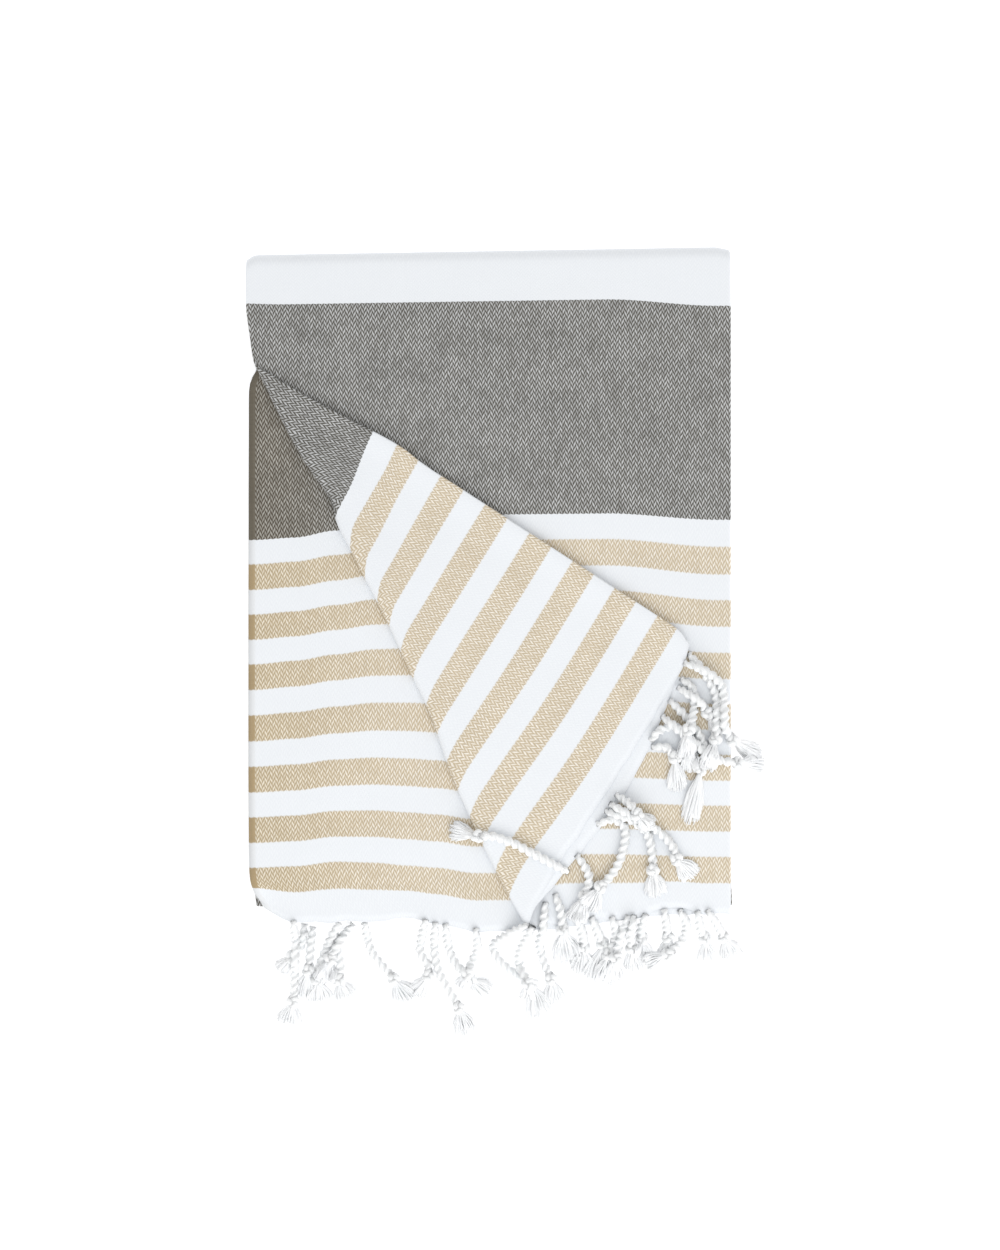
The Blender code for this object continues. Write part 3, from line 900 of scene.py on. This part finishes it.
    def lower_fold(self, y: float) -> float:
        """Find the lower strips' left fold, just inside what lies on them.

        Args:
            y: place along.

        Returns:
            The fold's x.
        """
        if y > self.left_line[-1][0]:
            return self.corner.fold_x(self.turn_centre)
        rounded = self.foot_rounding * ease((23.0 - y) / 18.0)
        return read_smooth(self.left_line, max(y, 40.0)) + self.fold_in + rounded

    def rounded(self, x: float) -> float:
        """How far the top fold falls short at the stack's two top corners."""
        return sum(short * bell(x - end, spread) for short, end, spread in self.roundings)

    def place(self, column: Column, row: Row) -> tuple[Vector, float]:
        """Fold a point of the flat cloth into its place.

        Args:
            column: the column of the sheet.
            row: the row of the sheet.

        Returns:
            The drawn point and its place across the flat cloth.
        """
        if row.strip is Strip.FRONT:
            spot, across = self.front(column, row.run)
            reach = (spot.y - self.turn_centre + self.top_blend) / self.top_blend
            spot.y -= self.rounded(spot.x) * ease(reach)
            return spot, across
        lie = LIES[row.strip]
        flat = lie.first == lie.last
        down = float(row.strip is Strip.FOOT_TURN)
        if flat:
            down = 1.0 - row.share if row.strip is Strip.SECOND else row.share
        foot = self.hem_inner if row.strip is Strip.THIRD else self.bottom_fold
        y = self.turn_centre + (foot - self.turn_centre) * down
        x, height, across = self.section(column, self.turn_centre, self.lower_fold(y))
        if column.panel is Panel.UNDER and row.strip is not Strip.OUTER_TURN:
            inward = self.lower_fold(y) + self.slip - read_smooth(self.left_line, self.turn_centre)
            slipped = ease(row.share * 16.0) if row.strip is Strip.FLOOR else 1.0
            x += inward * (1.0 - column.share) * slipped
        x += self.foot_bulge * bell(y - 16.0, 9.0) * ease((x - 140.0) / 25.0)
        top = self.turn_centre + self.top_tilt * x
        if flat:
            drawn_in = self.rounded(x) * (1.0 - ease(down * self.strip_blend))
            y = top + (foot - top) * down - drawn_in
            return Vector((x, y, self.levels[lie.first] + lie.side * height)), across
        first, last = self.levels[lie.first], self.levels[lie.last]
        turn = math.pi * row.share
        radius = abs(first - last) / 2 + lie.side * height
        rise = radius * math.cos(turn) * (1.0 if first > last else -1.0)
        if row.strip is Strip.FOOT_TURN:
            y = foot - radius * math.sin(turn)
        else:
            y = top + radius * math.sin(turn) - self.rounded(x)
        return Vector((x, y, (first + last) / 2 + rise)), across


@dataclass
class Cloth:
    """The one sheet of cloth, woven flat and then folded."""

    stack: FoldedStack
    finish: HerringboneCotton
    name: str = "towel_cloth_woven"
    hidden_run: float = 355.0       # third strip, down to the hidden hem
    under_cells: int = 58
    turn_cells: int = 8
    kept_cells: int = 38
    roll_cells: int = 16
    turned_cells: int = 24
    left_cells: int = 6
    front_cells: int = 92
    outer_cells: int = 14
    inner_cells: int = 8
    strip_cells: int = 16

    def columns(self) -> list[Column]:
        """Name every column of the sheet.

        Returns:
            The columns from the selvage that shows to the hidden one.
        """
        parts = (   # panel, zone, cells, share at its first column and at the next part's first
            (Panel.UNDER, None, self.under_cells, 0.0, 1.0),
            (Panel.RIGHT, None, self.turn_cells, 0.0, 1.0),
            (Panel.TOP, Zone.KEPT, self.kept_cells, 1.0, 0.0),
            (Panel.TOP, Zone.ROLL, self.roll_cells, 1.0, -1.0),
            (Panel.TOP, Zone.TURNED, self.turned_cells, 1.0, 0.0),
            (Panel.LEFT, None, self.left_cells, 0.0, 1.0),
            (Panel.MIDDLE, Zone.TURNED, self.turned_cells, 0.0, 1.0),
            (Panel.MIDDLE, Zone.ROLL, self.roll_cells, -1.0, 1.0),
            (Panel.MIDDLE, Zone.KEPT, self.kept_cells, 0.0, 1.0),
        )
        found = [Column(panel, zone, first + (last - first) * cell / cells)
                 for panel, zone, cells, first, last in parts for cell in range(cells)]
        return [*found, Column(Panel.MIDDLE, Zone.KEPT, 1.0)]

    def rows(self) -> list[Row]:
        """Name every row of the sheet.

        Returns:
            The rows from the hem that shows to the hidden one.
        """
        strip_run = self.stack.turn_centre - self.stack.bottom_fold
        parts = (
            (Strip.FRONT, self.front_cells, self.stack.front_run),
            (Strip.OUTER_TURN, self.outer_cells, math.pi * self.stack.outer_radius),
            (Strip.FLOOR, self.strip_cells, strip_run),
            (Strip.FOOT_TURN, self.inner_cells, math.pi * self.stack.inner_radius),
            (Strip.SECOND, self.strip_cells, strip_run),
            (Strip.INNER_TURN, self.inner_cells, math.pi * self.stack.inner_radius),
            (Strip.THIRD, self.strip_cells, self.hidden_run),
        )
        found = []
        start = 0.0
        for strip, cells, run in parts:
            found += [Row(strip, cell / cells, start + run * cell / cells)
                      for cell in range(cells)]
            start += run
        found.append(Row(Strip.THIRD, 1.0, start))
        return found

    def build(self) -> bpy.types.Object:
        """Weave the flat sheet, fold it and give it its thickness.

        Returns:
            The cloth's object.
        """
        columns = self.columns()
        rows = self.rows()
        deselect_all()
        bpy.ops.mesh.primitive_grid_add(x_subdivisions=len(columns) - 1,
                                        y_subdivisions=len(rows) - 1, size=1.0)
        sheet = bpy.context.object
        sheet.name = self.name
        mesh = sheet.data
        flat = {}
        for point in mesh.vertices:
            column = columns[round((point.co.x + 0.5) * (len(columns) - 1))]
            row = rows[round((point.co.y + 0.5) * (len(rows) - 1))]
            spot, across = self.stack.place(column, row)
            flat[point.index] = (across * METRES, row.run * METRES)
            point.co = place_in_frame(spot)
        weave = mesh.uv_layers[0]
        weave.name = "flat_cloth"
        for loop in mesh.loops:
            weave.data[loop.index].uv = flat[loop.vertex_index]
        thicken = sheet.modifiers.new("cloth_thickness", "SOLIDIFY")
        thicken.thickness = self.stack.thick * METRES
        thicken.offset = 0.0
        make_active(sheet)
        bpy.ops.object.modifier_apply(modifier=thicken.name)
        mesh = sheet.data
        mesh.shade_smooth()
        mesh.materials.append(self.finish.build())
        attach(sheet, "root")
        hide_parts("towel_cloth")
        log.info("%s: %d faces", self.name, len(mesh.polygons))
        return sheet


# ---- Fringe ------------------------------------------------------------------------------------
@dataclass
class Ground:
    """What a strand comes to lie on: the floor, the folded cloth and the strands laid before."""

    cloth: bpy.types.Object
    laid: list[tuple[float, float, float, float]] = field(default_factory=list)
    ceiling: float = 29.2           # where cords cross they are pressed down to this height
    look_from: float = 200.0        # height, above all the cloth
    feelers: int = 6                # places felt for round a strand's axis
    feel_at: float = 0.6            # their distance from it, as a share of its radius
    sink: float = 0.9               # strands that cross sink a little into one another
    smoothings: int = 3

    def __post_init__(self) -> None:
        """Read the cloth's surface once."""
        self.surface = BVHTree.FromObject(self.cloth, bpy.context.evaluated_depsgraph_get())

    def cloth_top(self, x: float, y: float) -> float:
        """Find the height of the cloth's upper surface, or of the floor beside it.

        Args:
            x: place across.
            y: place along.

        Returns:
            The height in millimetres.
        """
        above = place_in_frame(Vector((x, y, self.look_from)))
        hit = self.surface.ray_cast(above, DOWN)
        return hit[0].z / METRES if hit[0] else 0.0

    def under(self, x: float, y: float, radius: float) -> float:
        """Lowest height at which a round strand's axis clears what lies there.

        Args:
            x: place across.
            y: place along.
            radius: the strand's radius.

        Returns:
            The height of the strand's axis.
        """
        height = 0.0
        reach = self.feel_at * radius
        for step in range(self.feelers):
            turn = 2.0 * math.pi * step / self.feelers
            spot = (x + reach * math.cos(turn), y + reach * math.sin(turn))
            height = max(height, self.cloth_top(*spot))
        height += radius
        if self.laid:
            strands = np.array(self.laid)
            reach = strands[:, 3] + radius
            apart = reach ** 2 - (strands[:, 0] - x) ** 2 - (strands[:, 1] - y) ** 2
            over = strands[:, 2] + np.sqrt(np.maximum(apart, 0.0)) * self.sink
            touched = over[apart > 0.0]
            if len(touched):
                height = max(height, float(touched.max()))
        return height

    def drape(self, route: list[Vector], radius: float, root: float | None,
              slope: float = 0.9) -> list[float]:
        """Heights at which a strand lies along its route.

        Args:
            route: plan points of the strand.
            radius: its radius.
            root: height of its first point, or None where it lies free.
            slope: steepest fall that its stiffness allows.

        Returns:
            The height of its axis at each point.
        """
        heights = [self.under(spot.x, spot.y, radius) for spot in route]
        if root is not None:
            heights[0] = root
        for order in (range(1, len(route)), range(len(route) - 2, -1, -1)):
            for at in order:
                before = at - 1 if order.step > 0 else at + 1
                fall = slope * (route[at] - route[before]).length
                if not (at == 0 and root is not None):
                    heights[at] = max(heights[at], heights[before] - fall)
        for _ in range(self.smoothings):
            smooth = heights[:]
            for at in range(1, len(route) - 1):
                smooth[at] = (heights[at - 1] + 2.0 * heights[at] + heights[at + 1]) / 4.0
            heights = smooth
        return [min(max(height, radius + 0.5), self.ceiling) for height in heights]


@dataclass(frozen=True)
class Tassel:
    """One tassel of the fringe.

    Attributes:
        cord: plan points of the twisted cord, from the hem to its knot.
        tip: plan point that the loose tuft reaches.
        spread: half width of the tuft at its tip.
        knotted: whether a knot shows.
    """

    cord: tuple[tuple[float, float], ...]
    tip: tuple[float, float]
    spread: float = 7.0
    knotted: bool = True


@dataclass
class TasselMaker:
    """Twists, knots and frays the tassels."""

    ground: Ground
    finish: bpy.types.Material
    loose_finish: bpy.types.Material
    cord_radius: float = 3.0
    ply_radius: float = 2.1         # one of the two twisted yarns
    ply_offset: float = 1.35
    twist: float = 11.0             # one full turn of the cord
    knot_radius: float = 2.15
    knot_half: float = 1.05
    yarns: int = 120
    yarn_radius: float = 0.56
    core_yarns: int = 14            # bunched yarns that fill the tuft's middle
    core_scale: float = 2.5
    step: float = 1.1
    outline_corners: int = 14
    curve_parts: int = 12           # points between two given ones
    knot_points: int = 30
    knot_height: float = 1.4
    knot_lift: float = 0.9
    tuft_steps: int = 6
    tuft_height: float = 6.4        # of its highest yarns, where they leave the knot
    tuft_over: float = 3.8          # the most that a yarn may stand above the ceiling
    root_inside: float = 1.5        # the hem's height is read this far in from a cord's root
    root_run: float = 9.0           # a cord reaches its full thickness over this length
    root_scale: float = 0.75        # and is this share of it at its root

    def __post_init__(self) -> None:
        """Draw the outline of two yarns side by side, which is swept and twisted into a cord."""
        self.chance = random.Random(11)
        curve = bpy.data.curves.new("two_yarns", "CURVE")
        curve.dimensions = "2D"
        spline = curve.splines.new("POLY")
        spline.points.add(self.outline_corners - 1)
        for number, point in enumerate(spline.points):
            turn = 2.0 * math.pi * number / self.outline_corners
            beside = self.ply_offset * abs(math.cos(turn))
            inside = self.ply_radius ** 2 - (self.ply_offset * math.sin(turn)) ** 2
            reach = (beside + math.sqrt(inside)) * METRES
            point.co = (reach * math.cos(turn), reach * math.sin(turn), 0.0, 1.0)
        spline.use_cyclic_u = True
        self.profile = add_object("two_yarns", curve)

    def smooth_route(self, points: list[Vector], step: float) -> list[Vector]:
        """Read evenly spaced points from a smooth curve through given ones.

        Args:
            points: plan points to pass through.
            step: distance between the points that come back.

        Returns:
            Plan points along the curve.
        """
        fine = []
        padded = [2 * points[0] - points[1], *points, 2 * points[-1] - points[-2]]
        for before, start, end, after in zip(padded, padded[1:], padded[2:], padded[3:]):
            for part in range(self.curve_parts):
                t = part / self.curve_parts
                fine.append(0.5 * (2 * start + (end - before) * t
                                   + (2 * before - 5 * start + 4 * end - after) * t * t
                                   + (3 * start - before - 3 * end + after) * t * t * t))
        fine.append(points[-1])
        runs = [0.0]
        for first, second in zip(fine, fine[1:]):
            runs.append(runs[-1] + (second - first).length)
        count = max(4, round(runs[-1] / step))
        route = []
        for number in range(count + 1):
            run = runs[-1] * number / count
            at = min(max(int(np.searchsorted(runs, run)), 1), len(runs) - 1)
            share = (run - runs[at - 1]) / max(runs[at] - runs[at - 1], 1e-6)
            route.append(fine[at - 1].lerp(fine[at], share))
        return route

    def new_curve(self, name: str, radius: float | None, finish: bpy.types.Material
                  ) -> bpy.types.Curve:
        """Start a curve that is swept round, or with the outline of two yarns.

        Args:
            name: the curve's name.
            radius: its radius, or None for the outline of two yarns.
            finish: its material.

        Returns:
            The new curve.
        """
        curve = bpy.data.curves.new(name, "CURVE")
        curve.dimensions = "3D"
        curve.twist_mode = "MINIMUM"
        curve.use_fill_caps = True
        curve.materials.append(finish)
        if radius is None:
            curve.bevel_mode = "OBJECT"
            curve.bevel_object = self.profile
        else:
            curve.bevel_depth = radius * METRES
            curve.bevel_resolution = 1 if radius > 1.0 else 0
        return curve

    def add_spline(self, curve: bpy.types.Curve, spots: list[Vector], radii: list[float],
                   twist: float = 0.0, closed: bool = False) -> None:
        """Add a polyline to a curve.

        Args:
            curve: the curve.
            spots: drawn points.
            radii: scale of the swept outline at each point.
            twist: distance of one full turn, or 0 for none.
            closed: whether the line is a loop.
        """
        spline = curve.splines.new("POLY")
        spline.points.add(len(spots) - 1)
        run = 0.0
        for number, point in enumerate(spline.points):
            if number:
                run += (spots[number] - spots[number - 1]).length
            point.co = (*place_in_frame(spots[number]), 1.0)
            point.radius = radii[number]
            point.tilt = 2.0 * math.pi * run / twist if twist else 0.0
        spline.use_cyclic_u = closed

    def knot(self, curve: bpy.types.Curve, centre: Vector, heading: float) -> None:
        """Tie a knot: one yarn led round in a trefoil, and drawn tight.

        Args:
            curve: curve that takes the yarn.
            centre: drawn point of the knot's middle.
            heading: direction of the cord's end in plan.
        """
        roll = self.chance.uniform(0.0, 2.0 * math.pi)
        spots = []
        for number in range(self.knot_points):
            turn = 2.0 * math.pi * number / self.knot_points
            along = math.sin(turn) + 2.0 * math.sin(2.0 * turn)
            beside = math.cos(turn) - 2.0 * math.cos(2.0 * turn)
            above = -self.knot_height * math.sin(3.0 * turn)
            along, beside = (along * math.cos(roll) - beside * math.sin(roll),
                             along * math.sin(roll) + beside * math.cos(roll))
            spots.append(centre + self.knot_half * Vector((
                along * math.cos(heading) - beside * math.sin(heading),
                along * math.sin(heading) + beside * math.cos(heading), above)))
        self.add_spline(curve, spots, [1.0] * len(spots), closed=True)

    def tuft(self, curve: bpy.types.Curve, start: Vector, tassel: Tassel) -> None:
        """Fray the cord's end into loose yarns.

        Args:
            curve: curve that takes the yarns.
            start: drawn point where they leave the knot.
            tassel: the tassel that they end.
        """
        tip = Vector((*tassel.tip, 0.0))
        way = Vector((tip.x - start.x, tip.y - start.y, 0.0))
        length = way.length
        way.normalize()
        beside = Vector((-way.y, way.x, 0.0))
        for number in range(self.yarns):
            lean = self.chance.uniform(-1.0, 1.0)
            own = length * self.chance.uniform(0.72, 1.06) * (1.0 - 0.12 * lean * lean)
            pile = self.chance.uniform(0.0, 1.0) ** 1.3 * (1.0 - 0.5 * lean * lean)
            curl = self.chance.uniform(-1.0, 1.0)
            scale = 1.0
            if number < self.core_yarns:
                scale = self.core_scale
                own = 0.9 * length
                pile = 0.1
                lean = 1.6 * (number + 0.5) / self.core_yarns - 0.8
            spots = []
            radii = []
            for at in range(self.tuft_steps + 1):
                share = at / self.tuft_steps
                side = 1.15 * tassel.spread * lean * ease(0.3 + share) * share ** 0.55
                side += 1.3 * curl * math.sin(4.0 * share + lean * 3.0) * share
                spot = start + way * own * share + beside * side
                rest = self.ground.under(spot.x, spot.y, scale * self.yarn_radius)
                high = rest + pile * (self.tuft_height - 3.0 * share)
                middle = start.z + (pile - 0.5) * 3.0
                spot.z = max(middle + (high - middle) * ease(share * 1.6), rest)
                spot.z = min(spot.z, self.ground.ceiling + self.tuft_over)
                spots.append(spot)
                radii.append(scale if share < 0.9 else 0.6 * scale)
            self.add_spline(curve, spots, radii)

    def make(self, name: str, tassels: tuple[Tassel, ...], nodes: tuple[str, ...]
             ) -> bpy.types.Object:
        """Make one stretch of fringe.

        Args:
            name: the piece's name.
            tassels: its tassels, the lowest first.
            nodes: the frame's nodes that the piece stands for.

        Returns:
            The fringe's object.
        """
        cords = self.new_curve(name + "_cords", None, self.finish)
        knots = self.new_curve(name + "_knots", self.knot_radius, self.finish)
        yarns = self.new_curve(name + "_yarns", self.yarn_radius, self.loose_finish)
        for tassel in tassels:
            route = self.smooth_route([Vector(spot) for spot in tassel.cord], self.step)
            inside = route[0] + (route[0] - route[3]).normalized() * self.root_inside
            root = self.ground.cloth_top(inside.x, inside.y) - 0.5
            heights = self.ground.drape(route, self.cord_radius, root)
            spots = [Vector((spot.x, spot.y, height)) for spot, height in zip(route, heights)]
            grown = 1.0 - self.root_scale
            radii = [self.root_scale + grown * ease(at * self.step / self.root_run)
                     for at in range(len(spots))]
            self.add_spline(cords, spots, radii, twist=self.twist)
            last = spots[-1] - spots[-3]
            if tassel.knotted:
                lifted = Vector((0.0, 0.0, self.knot_lift))
                self.knot(knots, spots[-1] + lifted, math.atan2(last.y, last.x))
            self.tuft(yarns, spots[-1], tassel)
            for spot in spots[2:]:
                self.ground.laid.append((spot.x, spot.y, spot.z, self.cord_radius))
            end = spots[-1]
            self.ground.laid.append((end.x, end.y, end.z, self.cord_radius + 1.6))
            tip = Vector(tassel.tip)
            for share in (0.3, 0.55, 0.8):
                spot = Vector((end.x, end.y)).lerp(tip, share)
                self.ground.laid.append((spot.x, spot.y, self.ground.cloth_top(*spot) + 1.0, 3.6))
        make_active(*[add_object(curve.name, curve) for curve in (cords, knots, yarns)])
        bpy.ops.object.convert(target="MESH")
        bpy.ops.object.join()
        fringe = bpy.context.object
        fringe.name = name
        bpy.ops.object.mode_set(mode="EDIT")
        bpy.ops.mesh.select_all(action="SELECT")
        bpy.ops.mesh.remove_doubles(threshold=MERGE)
        bpy.ops.mesh.normals_make_consistent(inside=False)
        bpy.ops.object.mode_set(mode="OBJECT")
        fringe.data.shade_smooth()
        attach(fringe, "root")
        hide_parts(*nodes)
        log.info("%s: %d tassels, %d faces", name, len(tassels), len(fringe.data.polygons))
        return fringe


@dataclass
class Fringe:
    """Where every tassel that shows lies, as plan points in millimetres."""

    under: tuple[Tassel, ...] = (
        Tassel(((-122, -7), (-124, -22), (-125, -37)), (-128, -57)),
        Tassel(((-128, -5), (-130, -19), (-137, -28)), (-146, -38), 5.0),
        Tassel(((-135, -3), (-134, -23), (-135, -43), (-136, -59)), (-139, -76), 8.0),
        Tassel(((-107, -8), (-105, -23), (-103, -35), (-104, -44)), (-97, -58), 8.0),
        Tassel(((-104, -4), (-111, -18), (-117, -33), (-119, -44)), (-117, -60), 8.0),
        Tassel(((-94, -5), (-102, -15), (-110, -29)), (-115, -46), 7.0),
        Tassel(((-86, -4), (-83, -21), (-76, -32), (-66, -43)), (-55, -60), 8.0),
        Tassel(((-44, -2), (-48, -23), (-43, -33), (-42, -41)), (-52, -55), 6.0),
        Tassel(((-30, -5), (-28, -21), (-23, -33), (-13, -43)), (0, -54), 7.0),
        Tassel(((-37, -4), (-38, -23), (-35, -38), (-29, -50), (-21, -63)), (-15, -84), 7.0),
        Tassel(((-9, -8), (-8, -22), (-11, -30), (-15, -39)), (-19, -50), 5.0),
    )
    right: tuple[Tassel, ...] = (
        Tassel(((61, 0), (65, -12), (66, -21)), (65, -41), 8.0),
        Tassel(((71, 0), (75, -10), (79, -19)), (77, -46), 10.0),
        Tassel(((85, 0), (88, -12), (83, -26)), (79, -46), 7.0),
        Tassel(((96, 1), (91, -14), (88, -28)), (85, -48), 7.0),
        Tassel(((100, 1), (98, -11), (99, -21)), (101, -39), 6.0),
        Tassel(((108, 2), (105, -8), (106, -15)), (108, -30), 6.0),
        Tassel(((121, 6), (123, -7), (124, -14)), (124, -29), 6.0),
        Tassel(((132, 5), (137, -6), (133, -18), (124, -26)), (108, -34), 6.0),
        Tassel(((144, 4), (146, -7), (150, -15)), (151, -32), 6.0),
        Tassel(((151, 5), (157, -4), (163, -14)), (170, -30), 7.0),
    )
    corner_foot: tuple[Tassel, ...] = (
        Tassel(((27, -4), (12, -12), (3, -20), (5, -28), (15, -38), (30, -47)), (37, -72), 9.0),
        Tassel(((30, -6), (22, -22), (21, -33), (27, -46)), (27, -59), 5.0),
        Tassel(((39, 10), (37, -8), (35, -19), (38, -32), (43, -43)), (46, -61), 7.0),
        Tassel(((46, 16), (50, 3), (51, -8)), (55, -33), 9.0),
    )
    corner_hem: tuple[Tassel, ...] = (
        Tassel(((61, 43), (67, 34), (69, 26), (66, 15)), (60, -3), 7.0),
        Tassel(((75, 65), (86, 68), (94, 61), (92, 45), (86, 32), (77, 22)), (68, 6), 7.0),
        Tassel(((81, 74), (97, 68), (108, 60), (112, 48), (113, 34)), (116, 15), 7.0),
        Tassel(((84, 79), (103, 68), (118, 59), (127, 49), (129, 41)), (141, 28), 7.0),
        Tassel(((88, 85), (97, 79), (102, 72)), (112, 63), 6.0),
        Tassel(((54, 32), (38, 41), (28, 46), (17, 52), (3, 57), (-8, 57)), (-27, 61), 6.0),
    )
    corner_point: tuple[Tassel, ...] = (
        Tassel(((125, 150), (139, 135), (148, 119), (146, 103)), (138, 66), 6.0),
        Tassel(((112, 123), (117, 129), (125, 132), (133, 130), (137, 121)), (139, 101), 6.0),
        Tassel(((113, 118), (122, 118), (128, 111)), (130, 88), 6.0),
        Tassel(((120, 139), (139, 123), (156, 110), (172, 107)), (191, 106), 6.0),
        Tassel(((133, 165), (141, 157), (141, 142), (137, 130)), (136, 109), 6.0),
        Tassel(((131, 159), (144, 150), (151, 141)), (161, 126), 5.0),
        Tassel(((138, 182), (148, 170), (156, 155), (157, 142), (156, 124)), (150, 102), 6.0),
        Tassel(((135, 176), (146, 172), (155, 166), (161, 158), (162, 144), (162, 132),
                (168, 123)), (188, 111), 6.0),
    )

    def build(self, maker: TasselMaker) -> list[bpy.types.Object]:
        """Make every stretch of the fringe, the lowest first.

        Args:
            maker: the maker of the tassels.

        Returns:
            The fringe's objects.
        """
        stretches = (
            ("tassels_lowest_hem", self.under, "fringe_under"),
            ("tassels_right_hem", self.right, "fringe_right_top"),
            ("tassels_corner_foot", self.corner_foot, "fringe_tip"),
            ("tassels_corner_hem", self.corner_hem, "fringe_corner_under"),
            ("tassels_corner_point", self.corner_point, "fringe_corner_top"),
        )
        return [maker.make(name, tassels, (node,)) for name, tassels, node in stretches]


# ---- Studio ------------------------------------------------------------------------------------
@dataclass
class Studio:
    """Plain pale floor, soft light from the front, and a camera straight above."""

    centre: tuple[float, float] = (-0.0008, 0.0126)
    view_length: float = 0.8625     # metres of floor along the picture's long side
    cloth_level: float = 0.017
    lens: float = 100.0
    sensor: float = 36.0
    floor_colour: str = "#FAFAFB"
    floor_glow: float = 0.43        # a light table: the floor stays white where shade falls
    floor_side: float = 12.0
    floor_drop: float = 0.0002      # the floor lies this far under the towel
    surround: float = 0.82          # strength of the even white light
    lamp_place: tuple[float, float, float] = (0.8, -2.1, 1.9)
    lamp_side: float = 2.2
    lamp_power: float = 39.0

    def build(self) -> None:
        """Make the floor, the lights and the camera."""
        self.make_floor()
        self.make_lights()
        self.make_camera()

    def make_floor(self) -> None:
        """Lay the floor, just under the towel."""
        deselect_all()
        bpy.ops.mesh.primitive_plane_add(size=self.floor_side,
                                         location=(0.0, 0.0, -self.floor_drop))
        floor = bpy.context.object
        floor.name = "studio_floor"
        material, _, shader = new_material("matt_white_floor")
        set_values(shader, {"Base Color": linear(self.floor_colour), "Roughness": 1.0,
                            "Specular IOR Level": 0.0, "Emission Color": WHITE,
                            "Emission Strength": self.floor_glow})
        floor.data.materials.append(material)

    def make_lights(self) -> None:
        """Set an even white surround and a broad light from the front."""
        scene = bpy.context.scene
        scene.view_settings.view_transform = "Standard"
        world = bpy.data.worlds.new("white_surround")
        world.use_nodes = True
        set_values(world.node_tree.nodes["Background"],
                   {"Color": WHITE, "Strength": self.surround})
        scene.world = world
        lamp = bpy.data.lights.new("broad_light", "AREA")
        lamp.shape = "SQUARE"
        lamp.size = self.lamp_side
        lamp.energy = self.lamp_power
        light = add_object("broad_light", lamp)
        light.location = self.lamp_place
        light.rotation_euler = (-light.location).to_track_quat("-Z", "Y").to_euler()

    def make_camera(self) -> None:
        """Hang the camera straight above the towel."""
        lens = bpy.data.cameras.new("camera")
        lens.lens = self.lens
        lens.sensor_width = self.sensor
        lens.clip_start = 0.05
        lens.clip_end = 30.0
        camera = add_object("camera", lens)
        above = self.view_length * self.lens / self.sensor
        camera.location = (*self.centre, self.cloth_level + above)
        bpy.context.scene.camera = camera


def main() -> None:
    """Dress the frame and light it."""
    logging.basicConfig(level=logging.INFO, format="%(name)s %(message)s")
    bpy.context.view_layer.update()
    stack = FoldedStack()
    cloth = Cloth(stack, HerringboneCotton()).build()
    cord_finish = TwistedCotton().build()
    tuft_finish = TwistedCotton("combed_bleached_cotton", "#EDF0F3", "#FAFBFC",
                                glow_through=0.0).build()
    maker = TasselMaker(Ground(cloth), cord_finish, tuft_finish)
    fringe = Fringe().build(maker)
    bpy.data.objects.remove(maker.profile)
    for name in ("fringe_inner_top", "fringe_inner_middle", "fringe_inner_under"):
        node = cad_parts[name]
        node.data.materials.clear()
        node.data.materials.append(cord_finish)
    Studio().build()


if __name__ == "__main__":
    main()
